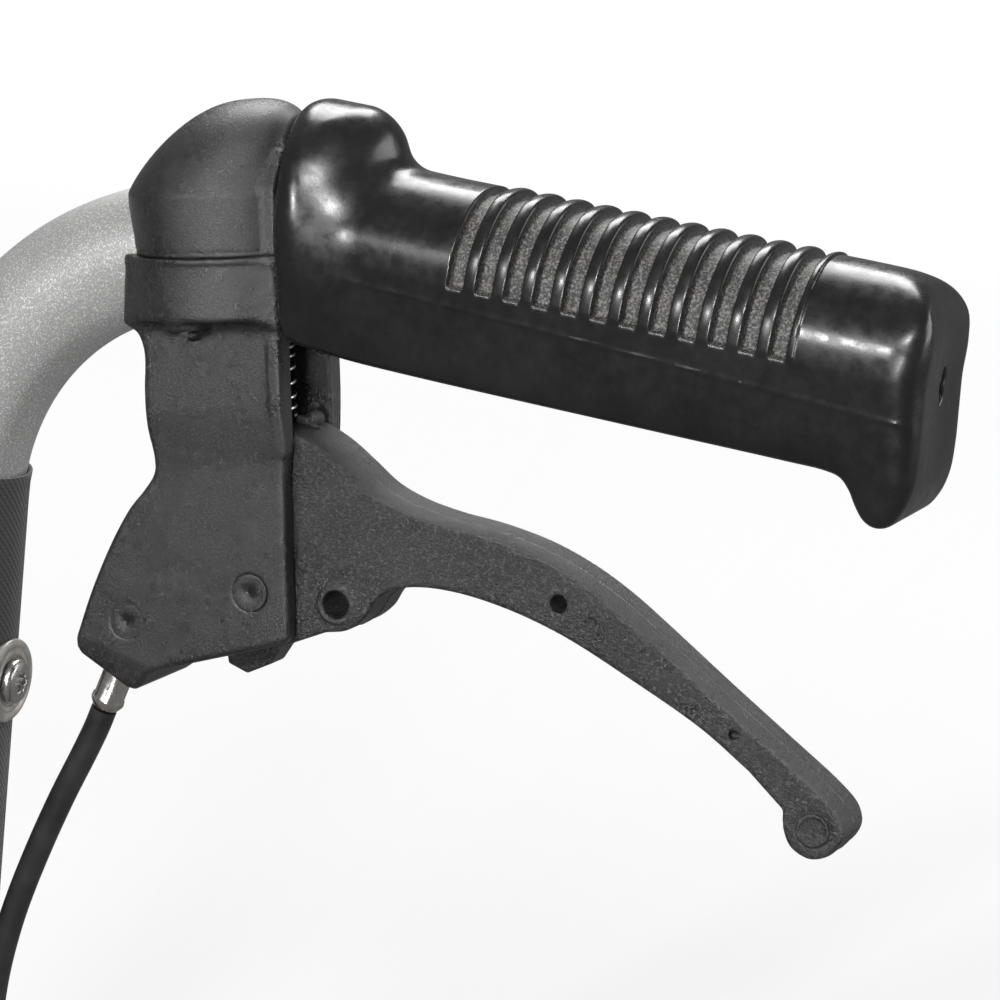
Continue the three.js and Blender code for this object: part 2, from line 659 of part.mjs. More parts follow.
// ---------------------------------------------------------------- the assembly
handle.add(
  makeTube(), makeTubePlug(), makeSleeve(), makeWasher(), makeSleeveScrew(),
  makeCable(), piece('cable_coil', coilRing(0), casing), ...tailParts(),
  makeClip('cable_clip_upper', 68), makeClip('cable_clip_lower', 46), makeCoilTie(),
);
head.add(makeGrip(), makeLever(), makeNipple());
housing.add(
  makeCap(), makeHousing(), makeClampScrew('clamp_screw_front', -1), makeClampScrew('clamp_screw_back', 1),
  makePivotPin(), makeGuidePin(), makeRoller(), makeSpring(), makeInnerWire(), makeFerrule(),
);

export default handle;
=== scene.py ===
"""The looks of the push handle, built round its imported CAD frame.

Shapes are drawn in millimetres in one of three frames: the row's own, the grip's (X runs along
the grip) and the brake housing's (Z runs up the housing). Each finished mesh is put in the row's
frame, in metres. Moulded parts are distance fields turned into fine quad skins, so that their
edges and fillets are round like those of a real moulding.
"""
import math

import bpy
import numpy as np
from mathutils import Matrix, Vector


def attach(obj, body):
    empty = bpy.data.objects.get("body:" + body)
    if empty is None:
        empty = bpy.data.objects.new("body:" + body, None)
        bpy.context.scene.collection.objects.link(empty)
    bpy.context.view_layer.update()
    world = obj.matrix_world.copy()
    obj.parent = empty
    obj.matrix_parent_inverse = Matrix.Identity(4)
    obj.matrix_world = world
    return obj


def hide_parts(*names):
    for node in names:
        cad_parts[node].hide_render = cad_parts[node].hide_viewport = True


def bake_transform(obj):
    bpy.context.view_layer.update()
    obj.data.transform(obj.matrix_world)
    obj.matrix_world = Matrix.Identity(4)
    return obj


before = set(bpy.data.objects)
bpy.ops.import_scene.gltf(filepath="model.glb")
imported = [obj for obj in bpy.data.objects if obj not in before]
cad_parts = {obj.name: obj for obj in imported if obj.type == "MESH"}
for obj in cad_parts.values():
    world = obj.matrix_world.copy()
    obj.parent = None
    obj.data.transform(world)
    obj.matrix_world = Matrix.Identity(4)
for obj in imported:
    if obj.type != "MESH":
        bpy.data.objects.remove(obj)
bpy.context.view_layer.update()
MM = 0.001

# ------------------------------------------------------------------ driving sizes, in millimetres
GAP = 0.3
TUBE_R, TUBE_WALL = 12.5, 1.5
LEG, BEND_R = 190.0, 55.0
DROOP, TILT = 3.0, 11.0  # degrees
TUBE_IN_GRIP = 118.0
SLEEVE_LOW, SLEEVE_HIGH, SLEEVE_WALL = 106.0, 199.0, 0.7
BOLT_Z, BOLT_HOLE_R, SCREW_HOLE_R = 24.0, 4.0, 2.7
WASHER_Z, WASHER_R, WASHER_PROUD, WASHER_RECESS = 155.6, 8.2, 1.3, 0.5
PIVOT, GUIDE, NIPPLE = (13.6, -59.5), (-10.4, -70.6), (10.8, -73.6)  # in the grip's frame
FORK_Y, SLOT_Y, LEVER_Y = 13.0, 8.3, 7.3
COLLAR_X, COLLAR_R, SKIRT_X, SKIRT_R = -4.4, 18.5, -4.9, 19.1
COLLAR_SPLIT, CREASE, CROWN = 0.6, 11.8, 28.2
COLLAR_RIGHT = 9.2
BOSS_MOUTH, CASING_TURN = (-30.2, -75.8), 26.06
CABLE_R = 2.5
COIL_X, COIL_Y, COIL_R, COIL_LOW = 62.0, 30.0, 27.5, 0.05
RUN_X = TUBE_R + GAP + CABLE_R
SPRING_X, SPRING_HIGH, SPRING_LOW, SPRING_R, SPRING_WIRE = 3.35, -16.4, -29.9, 3.4, 0.42


# ------------------------------------------------------------------ frames
def turn_y(degrees):
    return Matrix.Rotation(math.radians(degrees), 4, "Y")


bend_end = Vector((
    BEND_R + BEND_R * math.sin(math.radians(DROOP)), 0, LEG + BEND_R * math.cos(math.radians(DROOP)),
))
ROW = Matrix.Identity(4)
GRIP = Matrix.Translation(bend_end) @ turn_y(DROOP)
HOUSING = GRIP @ turn_y(-TILT)


def on_housing(place):
    """A place in the grip's plane, as the housing sees it."""
    seen = turn_y(TILT) @ Vector((place[0], 0, place[1]))
    return seen.x, seen.z


# ------------------------------------------------------------------ camera
CAMERA_PLACE = Vector((354.75, -633.64, 348.08)) * MM
CAMERA_WAY = Vector((-0.351906, 0.913815, -0.202744))
CAMERA_ROLL = 5.678
camera_data = bpy.data.cameras.new("camera")
camera_data.lens = 138.41
camera_data.sensor_width = 36
camera = bpy.data.objects.new("camera", camera_data)
camera.matrix_world = (
    Matrix.Translation(CAMERA_PLACE)
    @ CAMERA_WAY.to_track_quat("-Z", "Y").to_matrix().to_4x4()
    @ Matrix.Rotation(math.radians(CAMERA_ROLL), 4, "Z")
)
bpy.context.collection.objects.link(camera)
bpy.context.scene.camera = camera


# ------------------------------------------------------------------ material nodes
class Nodes:
    """A small way to write node trees."""

    def __init__(self, name):
        self.material = bpy.data.materials.new(name)
        self.material.use_nodes = True
        self.tree = self.material.node_tree
        self.shader = self.tree.nodes["Principled BSDF"]

    def add(self, kind, **inputs):
        node = self.tree.nodes.new(kind)
        for key, value in inputs.items():
            key = key.replace("_", " ")
            if isinstance(value, bpy.types.NodeSocket):
                self.tree.links.new(value, node.inputs[key])
            else:
                node.inputs[key].default_value = value
        return node

    def place(self, scale=(1, 1, 1)):
        """Where the surface is in the object, in millimetres, or scaled from them."""
        where = self.tree.nodes.new("ShaderNodeTexCoord").outputs["Object"]
        mapped = self.add("ShaderNodeMapping", Vector=where)
        mapped.inputs["Scale"].default_value = [1000 * s for s in scale]
        return mapped.outputs["Vector"]

    def noise(self, size, detail=3, rough=0.6):
        """Noise whose blobs are about size millimetres."""
        where = self.place()
        node = self.add("ShaderNodeTexNoise", Vector=where, Scale=1 / size, Detail=detail, Roughness=rough)
        return node.outputs["Fac"]

    def ramp(self, value, low, high, from_low=0.0, from_high=1.0):
        node = self.add("ShaderNodeMapRange", Value=value, From_Min=from_low, From_Max=from_high)
        node.inputs["To Min"].default_value = low
        node.inputs["To Max"].default_value = high
        return node.outputs["Result"]

    def mix(self, share, first, second):
        node = self.tree.nodes.new("ShaderNodeMix")
        node.data_type = "RGBA"
        for socket, value in ((0, share), (6, first), (7, second)):
            if isinstance(value, bpy.types.NodeSocket):
                self.tree.links.new(value, node.inputs[socket])
            else:
                node.inputs[socket].default_value = value
        return node.outputs[2]

    def maths(self, operation, first, second=0.0):
        node = self.tree.nodes.new("ShaderNodeMath")
        node.operation = operation
        for socket, value in enumerate((first, second)):
            if isinstance(value, bpy.types.NodeSocket):
                self.tree.links.new(value, node.inputs[socket])
            else:
                node.inputs[socket].default_value = value
        return node.outputs[0]

    def painted(self, name):
        node = self.tree.nodes.new("ShaderNodeAttribute")
        node.attribute_name = name
        return node.outputs["Fac"]

    def bumps(self, *layers):
        """Layers of (height, strength, distance in millimetres), laid on each other."""
        normal = None
        for height, strength, distance in layers:
            node = self.add("ShaderNodeBump", Height=height, Strength=strength, Distance=distance * MM)
            if normal is not None:
                self.tree.links.new(normal, node.inputs["Normal"])
            normal = node.outputs["Normal"]
        self.tree.links.new(normal, self.shader.inputs["Normal"])

    def set(self, **inputs):
        for key, value in inputs.items():
            key = key.replace("_", " ")
            if isinstance(value, bpy.types.NodeSocket):
                self.tree.links.new(value, self.shader.inputs[key])
            else:
                self.shader.inputs[key].default_value = value
        return self.material


def grey(value, warm=0.0):
    return (value * (1 + warm), value, value * (1 - warm), 1)


def moulded_plastic(name, dark, light, grain, grain_depth, rough, fleck_share=0.5):
    """Grained black nylon, with paler flecks and cloudy gloss; convex edges are painted pale, partly as
    scuffed wear and partly as a painted highlight.
    """
    n = Nodes(name)
    cloud = n.noise(11, 4, 0.6)
    grit = n.noise(grain, 3, 0.75)
    fleck = n.ramp(n.noise(grain * 1.5, 2, 0.7), 0, 1, 0.53, 0.64)
    pit = n.ramp(n.noise(grain * 1.3, 2, 0.6), 1, 0, 0.36, 0.46)
    # convex edges painted pale and glossier: partly scuffed wear, partly a painted edge highlight
    wear_and_highlight = n.maths("MULTIPLY", n.painted("edge"), n.ramp(n.noise(1.3, 4, 0.75), 0.1, 1, 0.38, 0.62))
    body = n.mix(n.ramp(cloud, 0, 1, 0.35, 0.68), grey(dark, 0.02), grey(light, 0.03))
    body = n.mix(n.maths("MULTIPLY", fleck, fleck_share), body, grey(light * 4, 0.03))
    body = n.mix(n.maths("MULTIPLY", pit, 0.7), body, grey(dark * 0.25))
    colour = n.mix(n.maths("MULTIPLY", wear_and_highlight, 0.5), body, grey(0.14, 0.02))
    gloss = n.ramp(cloud, rough - 0.07, rough + 0.1, 0.3, 0.7)
    roughness = n.maths("SUBTRACT", gloss, n.maths("MULTIPLY", wear_and_highlight, 0.12))
    n.bumps((n.noise(grain * 7, 2, 0.5), 0.3, 0.2), (grit, 1.0, grain_depth))
    return n.set(Base_Color=colour, Roughness=roughness, Specular_IOR_Level=0.5)


def satin_vinyl():
    """The grip's soft black vinyl: smooth and satin, with matt grained groove floors."""
    n = Nodes("grip_vinyl")
    floor = n.painted("groove")
    cloud = n.noise(14, 4, 0.6)
    colour = n.mix(n.ramp(cloud, 0, 1, 0.3, 0.7), grey(0.004), grey(0.008))
    dust = n.ramp(n.noise(0.45, 2, 0.7), 0, 1, 0.46, 0.66)
    chalk = n.mix(dust, grey(0.02, 0.03), grey(0.13, 0.03))
    colour = n.mix(n.maths("MULTIPLY", floor, 0.85), colour, chalk)
    # convex edges painted a little paler: partly rubbed wear, partly a painted edge highlight
    wear_and_highlight = n.maths("MULTIPLY", n.painted("edge"), n.ramp(n.noise(2.5, 3, 0.7), 0, 1, 0.4, 0.7))
    colour = n.mix(n.maths("MULTIPLY", wear_and_highlight, 0.15), colour, grey(0.1))
    smudge = n.ramp(n.noise(2.6, 3, 0.6), 0.2, 0.34, 0.3, 0.7)
    roughness = n.maths("ADD", smudge, n.maths("MULTIPLY", floor, 0.3))
    depth = n.ramp(floor, 0.04, 1)
    grain = n.maths("MULTIPLY", n.noise(0.4, 2, 0.7), depth)
    n.bumps((n.noise(6, 1, 0.5), 0.2, 0.2), (grain, 0.8, 0.16))
    return n.set(Base_Color=colour, Roughness=roughness, Specular_IOR_Level=0.3)


def silver_lacquer():
    """Silver lacquer with metal flake: bright specks in a greyer ground."""
    n = Nodes("silver_lacquer")
    cloud = n.noise(20, 3, 0.5)
    spark = n.ramp(n.noise(0.3, 1, 0.5), 0, 1, 0.5, 0.72)
    colour = n.mix(n.maths("MULTIPLY", spark, 0.8), grey(0.42, 0.005), grey(0.9, 0.005))
    n.bumps((n.noise(0.4, 2, 0.6), 0.5, 0.05), (n.noise(2.2, 2, 0.5), 0.2, 0.03))
    return n.set(Base_Color=colour, Metallic=0.75, Roughness=n.ramp(cloud, 0.3, 0.4, 0.3, 0.7))


def plated_steel(name, tone=0.62, rough=0.24):
    n = Nodes(name)
    cloud = n.noise(1.3, 4, 0.7)
    colour = n.mix(n.ramp(cloud, 0, 1, 0.3, 0.75), grey(tone * 0.75, 0.02), grey(tone, 0.03))
    n.bumps((n.noise(0.25, 3, 0.6), 0.3, 0.02))
    roughness = n.ramp(cloud, rough - 0.06, rough + 0.14, 0.3, 0.8)
    return n.set(Base_Color=colour, Metallic=1.0, Roughness=roughness)


def washer_paint():
    n = Nodes("washer_paint")
    cloud = n.noise(2.5, 4, 0.6)
    colour = n.mix(n.ramp(cloud, 0, 1, 0.3, 0.7), grey(0.2, 0.05), grey(0.32, 0.06))
    n.bumps((n.noise(0.3, 3, 0.6), 0.4, 0.05))
    return n.set(Base_Color=colour, Metallic=0.55, Roughness=n.ramp(cloud, 0.34, 0.5))


def ribbed_webbing():
    """Black webbing with a diagonal twill: the weave follows the leg's surface."""
    n = Nodes("ribbed_webbing")
    spot = n.tree.nodes.new("ShaderNodeSeparateXYZ")
    n.tree.links.new(n.place(), spot.inputs[0])
    angle = n.maths("ARCTAN2", spot.outputs[1], spot.outputs[0])
    round_leg = n.maths("MULTIPLY", angle, TUBE_R + SLEEVE_WALL)
    slanted = n.maths("ADD", round_leg, n.maths("MULTIPLY", spot.outputs[2], 0.8))
    twill = n.maths("SINE", n.maths("MULTIPLY", slanted, 5.2))
    across = n.maths("SINE", n.maths("MULTIPLY", spot.outputs[2], 9.0))
    weave = n.maths("ADD", n.maths("MULTIPLY", twill, 0.35), n.maths("MULTIPLY", across, 0.15))
    lint = n.noise(0.5, 4, 0.7)
    colour = n.mix(n.ramp(weave, 0, 1, -0.45, 0.45), grey(0.004), grey(0.022, 0.01))
    colour = n.mix(n.ramp(lint, 0, 0.4, 0.62, 0.8), colour, grey(0.07, 0.02))
    n.bumps((weave, 0.9, 0.16), (lint, 0.5, 0.08))
    return n.set(Base_Color=colour, Roughness=0.82, Sheen_Weight=0.12, Sheen_Roughness=0.45)


def cable_jacket():
    n = Nodes("cable_jacket")
    colour = n.mix(n.ramp(n.noise(6, 3, 0.6), 0, 1, 0.3, 0.7), grey(0.006), grey(0.014))
    n.bumps((n.noise(1.4, 3, 0.6), 0.25, 0.06))
    return n.set(Base_Color=colour, Roughness=n.ramp(n.noise(2, 4, 0.6), 0.26, 0.42), Specular_IOR_Level=0.5)


def pale_floor():
    """A pale studio floor that glows by painted emission in place of a lit paper sweep, with painted shade:
    the glow is dimmer near the object and a little brighter away from it.
    """
    n = Nodes("pale_floor")
    flat = n.add("ShaderNodeVectorMath", Vector=n.place((0.001, 0.001, 0)))
    flat.operation = "LENGTH"
    # painted light and shade: the floor's own glow, weakest within half a metre of the object and strongest
    # past 2.2 metres
    painted_glow_dim_near_object = n.ramp(flat.outputs["Value"], 0.73, 0.97, 0.5, 2.2)
    return n.set(
        Base_Color=grey(0.1), Roughness=0.9, Emission_Color=(1, 1, 1, 1), Emission_Strength=painted_glow_dim_near_object,
        Specular_IOR_Level=0.1,
    )


BODY = moulded_plastic("housing_nylon", 0.005, 0.010, 0.32, 0.15, 0.27)
LEVER = moulded_plastic("lever_nylon", 0.005, 0.011, 0.45, 0.34, 0.31, 0.8)
VINYL = satin_vinyl()
SILVER = silver_lacquer()
STEEL = plated_steel("plated_steel")
FERRULE = plated_steel("polished_ferrule", 0.7, 0.16)
OXIDE = plated_steel("black_oxide", 0.06, 0.4)
WASHER = washer_paint()
WEBBING = ribbed_webbing()
JACKET = cable_jacket()


# ------------------------------------------------------------------ meshes
def as_object(name, points, faces, where=ROW, material=None):
    """Points in millimetres in one of the frames, and faces that all have as many corners."""
    matrix = np.array(where)
    points = (np.asarray(points, float) @ matrix[:3, :3].T + matrix[:3, 3]) * MM
    faces = np.asarray(faces, np.int32)
    mesh = bpy.data.meshes.new(name)
    mesh.vertices.add(len(points))
    mesh.vertices.foreach_set("co", points.ravel())
    mesh.loops.add(faces.size)
    mesh.loops.foreach_set("vertex_index", faces.ravel())
    mesh.polygons.add(len(faces))
    mesh.polygons.foreach_set("loop_start", np.arange(0, faces.size, faces.shape[1], dtype=np.int32))
    mesh.polygons.foreach_set("use_smooth", np.ones(len(faces), bool))
    mesh.update(calc_edges=True)
    mesh.validate()
    obj = bpy.data.objects.new(name, mesh)
    bpy.context.collection.objects.link(obj)
    if material is not None:
        mesh.materials.append(material)
    return obj


def paint(obj, name, values):
    layer = obj.data.attributes.new(name, "FLOAT", "POINT")
    layer.data.foreach_set("value", np.asarray(values, np.float32))


def swept(rings, closed_ends=True, joined=False):
    """Points, quads and end fans of a skin over rings. joined closes the last ring to the first."""
    rings = np.asarray(rings, float)
    steps, count = rings.shape[:2]
    points = rings.reshape(-1, 3)
    first = np.arange(steps if joined else steps - 1)[:, None] * count
    after = (first + count) % (steps * count)
    i = np.arange(count)[None, :]
    j = (i + 1) % count
    faces = np.stack([first + i, first + j, after + j, after + i], -1).reshape(-1, 4)
    if closed_ends and not joined:
        caps = []
        for base, flip in ((0, True), ((steps - 1) * count, False)):
            middle = len(points)
            points = np.vstack([points, points[base:base + count].mean(0)])
            fan = [(base + k, base + (k + 1) % count, middle, middle) for k in range(count)]
            caps += [(b, a, m, m) for a, b, m, _ in fan] if flip else fan
        return points, faces, np.array(caps)[:, :3]
    return points, faces, None


def skin_of_rings(name, rings, where, material, joined=False):
    points, quads, caps = swept(rings, True, joined)
    halves = np.vstack([quads[:, [0, 1, 2]], quads[:, [0, 2, 3]]])
    faces = halves if caps is None else np.vstack([halves, caps])
    return as_object(name, points, faces, where, material)


def circle(radius, sides, start=0.0):
    turn = start + np.arange(sides) / sides * 2 * math.pi
    return radius * np.cos(turn), radius * np.sin(turn)


def tube_rings(line, radius, sides=24):
    """Rings round a line in space, carried along it without twist."""
    line = np.asarray(line, float)
    way = np.gradient(line, axis=0)
    way /= np.linalg.norm(way, axis=1)[:, None]
    side = np.cross(way[0], [0, 1, 0.01])
    rings = []
    c, s = circle(1, sides)
    for place, ahead in zip(line, way):
        side = side - ahead * (side @ ahead)
        side /= np.linalg.norm(side)
        other = np.cross(ahead, side)
        rings.append(place + radius * (c[:, None] * side + s[:, None] * other))
    return rings


def turned(name, profile, where, material, sides=64):
    """A turned piece about Z from a closed profile of (radius, height) points."""
    profile = np.asarray(profile, float)
    c, s = circle(1, sides)
    rings = [np.stack([r * c, r * s, np.full(sides, h)], 1) for r, h in profile]
    points, quads, _ = swept(rings, False, True)
    halves = np.vstack([quads[:, [0, 1, 2]], quads[:, [0, 2, 3]]])
    return as_object(name, points, halves, where, material)


# ------------------------------------------------------------------ distance fields
def through(points, steps=8, closed=False):
    """A smooth line through points (centripetal Catmull-Rom)."""
    p = [np.asarray(q, float) for q in points]
    ahead = [p[-1]] + p + [p[0], p[1]] if closed else [2 * p[0] - p[1]] + p + [2 * p[-1] - p[-2]]
    out = []
    for a, b, c, d in zip(ahead, ahead[1:], ahead[2:], ahead[3:]):
        t0 = 0.0
        t1 = t0 + np.linalg.norm(b - a) ** 0.5
        t2 = t1 + np.linalg.norm(c - b) ** 0.5
        t3 = t2 + np.linalg.norm(d - c) ** 0.5
        for k in range(steps):
            t = t1 + (t2 - t1) * k / steps
            ab = (t1 - t) / (t1 - t0) * a + (t - t0) / (t1 - t0) * b
            bc = (t2 - t) / (t2 - t1) * b + (t - t1) / (t2 - t1) * c
            cd = (t3 - t) / (t3 - t2) * c + (t - t2) / (t3 - t2) * d
            abc = (t2 - t) / (t2 - t0) * ab + (t - t0) / (t2 - t0) * bc
            bcd = (t3 - t) / (t3 - t1) * bc + (t - t1) / (t3 - t1) * cd
            out.append((t2 - t) / (t2 - t1) * abc + (t - t1) / (t2 - t1) * bcd)
    if not closed:
        out.append(p[-1])
    return out


def outline_field(points, x, z):
    """Signed distance to a closed outline in the XZ plane, on the grid of x and z, as [x, 1, z]."""
    px, pz = np.meshgrid(x, z, indexing="ij")
    best = np.full(px.shape, 1e9)
    inside = np.zeros(px.shape, bool)
    corners = [np.asarray(q, float) for q in points]
    for a, b in zip(corners, corners[1:] + corners[:1]):
        ex, ez = b - a
        wx, wz = px - a[0], pz - a[1]
        share = np.clip((wx * ex + wz * ez) / max(ex * ex + ez * ez, 1e-12), 0, 1)
        best = np.minimum(best, (wx - ex * share) ** 2 + (wz - ez * share) ** 2)
        crosses = (a[1] <= pz) != (b[1] <= pz)
        with np.errstate(divide="ignore", invalid="ignore"):
            at = a[0] + (pz - a[1]) * ex / ez
        inside ^= crosses & (px < at)
    distance = np.sqrt(best)
    return np.where(inside, -distance, distance)[:, None, :]


def thick(flat, across, edge):
    """A flat outline given thickness: across is the distance past its faces, edge the rounding."""
    a, b = flat + edge, across + edge
    return np.minimum(np.maximum(a, b), 0) + np.hypot(np.maximum(a, 0), np.maximum(b, 0)) - edge


def both(a, b, blend=0.0):
    return -either(-a, -b, blend)


def either(a, b, blend=0.0):
    if blend <= 0:
        return np.minimum(a, b)
    h = np.maximum(blend - np.abs(a - b), 0) / blend
    return np.minimum(a, b) - h * h * blend / 4


def without(a, b, blend=0.0):
    return both(a, -b, blend)


def even(field, axes):
    """An implicit function scaled to be nearly a distance by its own slope."""
    slope = np.gradient(field, *axes)
    return field / np.maximum(np.sqrt(sum(s * s for s in slope)), 1e-3)


def grid(low, high, cell):
    axes = [np.arange(a, b + cell, cell) for a, b in zip(low, high)]
    x, y, z = axes
    return axes, x[:, None, None], y[None, :, None], z[None, None, :]


def corners_of(field):
    nx, ny, nz = field.shape
    return [
        field[i:nx - 1 + i, j:ny - 1 + j, k:nz - 1 + k] for i in (0, 1) for j in (0, 1) for k in (0, 1)
    ]


def sample(field, axes, points):
    """The field and its slope at points, trilinear."""
    cells, shares, widths = [], [], []
    for d, axis in enumerate(axes):
        i = np.clip(np.searchsorted(axis, points[:, d]) - 1, 0, len(axis) - 2)
        width = axis[i + 1] - axis[i]
        cells.append(i)
        widths.append(width)
        shares.append((points[:, d] - axis[i]) / width)
    value = np.zeros(len(points))
    slope = np.zeros((len(points), 3))
    for i in (0, 1):
        for j in (0, 1):
            for k in (0, 1):
                f = field[cells[0] + i, cells[1] + j, cells[2] + k]
                w = [shares[d] if o else 1 - shares[d] for d, o in enumerate((i, j, k))]
                value += f * w[0] * w[1] * w[2]
                for d, o in enumerate((i, j, k)):
                    rest = w[(d + 1) % 3] * w[(d + 2) % 3]
                    slope[:, d] += (1 if o else -1) * f * rest / widths[d]
    return value, slope


def skin_of_field(name, field, axes, where, material):
    """A fine quad skin over the zero level of a field, by surface nets, then relaxed onto the level."""
    inside = field < 0
    count = sum(c.astype(np.int8) for c in corners_of(inside))
    active = (count > 0) & (count < 8)
    cells = np.argwhere(active)
    number = np.full(active.shape, -1, np.int32)
    number[active] = np.arange(len(cells))
    total = np.zeros((len(cells), 3))
    hits = np.zeros(len(cells))
    for d in range(3):
        others = [o for o in range(3) if o != d]
        for i in (0, 1):
            for j in (0, 1):
                low = cells.copy()
                low[:, others[0]] += i
                low[:, others[1]] += j
                high = low.copy()
                high[:, d] += 1
                f0, f1 = field[tuple(low.T)], field[tuple(high.T)]
                cross = (f0 < 0) != (f1 < 0)
                share = np.where(cross, f0 / np.where(cross, f0 - f1, 1), 0)
                place = np.stack([axes[k][low[:, k]] for k in range(3)], 1)
                place[:, d] += share * (axes[d][high[:, d]] - axes[d][low[:, d]])
                total[cross] += place[cross]
                hits[cross] += 1
    points = total / hits[:, None]
    faces = []
    for d in range(3):
        a, b = (d + 1) % 3, (d + 2) % 3
        first = np.moveaxis(inside, (d, a, b), (0, 1, 2))
        cell = np.moveaxis(number, (d, a, b), (0, 1, 2))
        change = first[:-1, 1:-1, 1:-1] != first[1:, 1:-1, 1:-1]
        at = np.argwhere(change)
        u, v, w = at[:, 0], at[:, 1] + 1, at[:, 2] + 1
        quad = np.stack([cell[u, v - 1, w - 1], cell[u, v, w - 1], cell[u, v, w], cell[u, v - 1, w]], 1)
        outward = first[:-1, 1:-1, 1:-1][tuple(at.T)]
        quad[~outward] = quad[~outward][:, ::-1]
        faces.append(quad)
    faces = np.vstack(faces)
    faces = faces[(faces >= 0).all(1)]
    for _ in range(3):
        points = 0.5 * points + 0.5 * neighbour_mean(points, faces)
        value, slope = sample(field, axes, points)
        points -= np.clip(value / np.maximum((slope ** 2).sum(1), 1e-3), -0.5, 0.5)[:, None] * slope
    obj = as_object(name, points, faces, where, material)
    # the convex-edge mask, which the materials paint pale as wear and as a painted highlight
    paint(obj, "edge", edge_wear_and_highlight(points, faces, field, axes))
    return obj


def neighbour_mean(points, faces):
    total = np.zeros_like(points)
    hits = np.zeros(len(points))
    for a, b in ((0, 1), (1, 2), (2, 3), (3, 0)):
        for s, t in ((a, b), (b, a)):
            for d in range(3):
                total[:, d] += np.bincount(faces[:, s], points[faces[:, t], d], len(points))
            hits += np.bincount(faces[:, s], minlength=len(points))
    return total / np.maximum(hits, 1)[:, None]


def edge_wear_and_highlight(points, faces, field, axes):
    """1 on convex edges and 0 elsewhere: how far the neighbours' mean lies inside the skin. The materials
    paint these edges pale, as wear and as a painted highlight.
    """
    soft = points
    for _ in range(4):
        soft = neighbour_mean(soft, faces)
    value, _ = sample(field, axes, soft)
    return np.clip((-value - 0.1) / 0.16, 0, 1)


def finished(obj, body, node, where_cad=()):
    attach(obj, body)
    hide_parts(node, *where_cad)
    return obj


# ------------------------------------------------------------------ the free cable
# Down beside the leg, out over the floor, and into a coil beside the leg's foot.
casing_angle = math.radians(CASING_TURN + DROOP - TILT)
casing_down = Vector((-math.sin(casing_angle), 0, -math.cos(casing_angle)))
mouth = HOUSING @ Vector((BOSS_MOUTH[0], 0, BOSS_MOUTH[1]))
FERRULE_IN, FERRULE_OUT, FERRULE_R = 5.6, 12.0, 2.95
cable_start = mouth + casing_down * (FERRULE_OUT + GAP)


def cable_line():
    free = [(31.3, 144.7), (27.2, 135), (22.8, 123.2), (19.1, 111.6), (17.2, 103.6), (16, 96.4)]
    leg = [(15.4, 89), (RUN_X, 81), (RUN_X, 72), (RUN_X, 60), (RUN_X, 48)]
    turn = [(16.3, 35), (20, 22.5), (28, 10.5), (38, 4.4), (COIL_X - 14, CABLE_R)]
    down = [tuple(cable_start), tuple(cable_start + casing_down * 4)]
    return down + [(x, 0, z) for x, z in free + leg + turn]


def coil_line():
    """Two turns on the floor, winding in, and two on top of them, winding out."""
    low, high = CABLE_R + COIL_LOW, 3 * CABLE_R + COIL_LOW
    outer, inner = COIL_R + CABLE_R, COIL_R - CABLE_R
    turns = [0, 0.8, 1.2, 1.8, 2.2, 2.8, 3.2, 4.0417]
    radius = [outer, outer, inner, inner, inner, inner, outer, outer]
    height = [low, low, low, low, high, high, high, high]
    points = []
    for turn in np.arange(0, 4.0418, 1 / 16):
        angle = math.radians(-90) + turn * 2 * math.pi
        r, z = np.interp(turn, turns, radius), np.interp(turn, turns, height)
        points.append((COIL_X + r * math.cos(angle), COIL_Y + r * math.sin(angle), z))
    return points


exit_turn = math.radians(-75)
tail_way = Vector((-math.sin(exit_turn), math.cos(exit_turn), 0))
tail_root = Vector((
    COIL_X + (COIL_R + CABLE_R) * math.cos(exit_turn), COIL_Y + (COIL_R + CABLE_R) * math.sin(exit_turn), 0,
))


def tail_place(far, z):
    return tail_root + tail_way * far + Vector((0, 0, z))


def tail_line():
    low, high = CABLE_R + COIL_LOW, 3 * CABLE_R + COIL_LOW
    route = [(12, high - 0.6), (24, low + 2.2), (36, low + 0.4), (46, low), (56, low)]
    return [tuple(tail_place(far, z)) for far, z in route]


whole_line = np.array(through(cable_line() + coil_line() + tail_line(), 4))
cable_curve = bpy.data.curves.new("brake_cable_casing", "CURVE")
cable_curve.dimensions = "3D"
cable_curve.bevel_depth = CABLE_R * MM
cable_curve.bevel_resolution = 6
cable_curve.use_fill_caps = True
spline = cable_curve.splines.new("POLY")
spline.points.add(len(whole_line) - 1)
spline.points.foreach_set("co", np.hstack([whole_line * MM, np.ones((len(whole_line), 1))]).ravel())
spline.use_smooth = True
cable = bpy.data.objects.new("brake_cable_casing", cable_curve)
bpy.context.collection.objects.link(cable)
cable_curve.materials.append(JACKET)
finished(cable, "frame", "brake_cable", ("cable_coil", "cable_tail"))


# ------------------------------------------------------------------ the tube, its plug and its sleeve
def handle_line(low, along, step=2.0):
    """The tube's centre line from a height on the leg to a distance past the bend."""
    leg = [(0, 0, z) for z in np.arange(low, LEG, step)]
    turns = np.arange(0, 90 + DROOP + 0.01, 1.5)
    bend = [(BEND_R - BEND_R * math.cos(t), 0, LEG + BEND_R * math.sin(t)) for t in np.radians(turns)]
    way = Vector((math.cos(math.radians(DROOP)), 0, -math.sin(math.radians(DROOP))))
    stub = [tuple(bend_end + way * far) for far in np.arange(step, along + 0.1, step)]
    return leg + bend + stub


def carve(obj, *cutters):
    """Cuts closed meshes out of a piece, and removes them."""
    for cutter in cutters:
        step = obj.modifiers.new("cut", "BOOLEAN")
        step.object = cutter
        step.solver = "EXACT"
        bpy.context.view_layer.objects.active = obj
        obj.select_set(True)
        bpy.ops.object.modifier_apply(modifier=step.name)
        bpy.data.objects.remove(cutter)


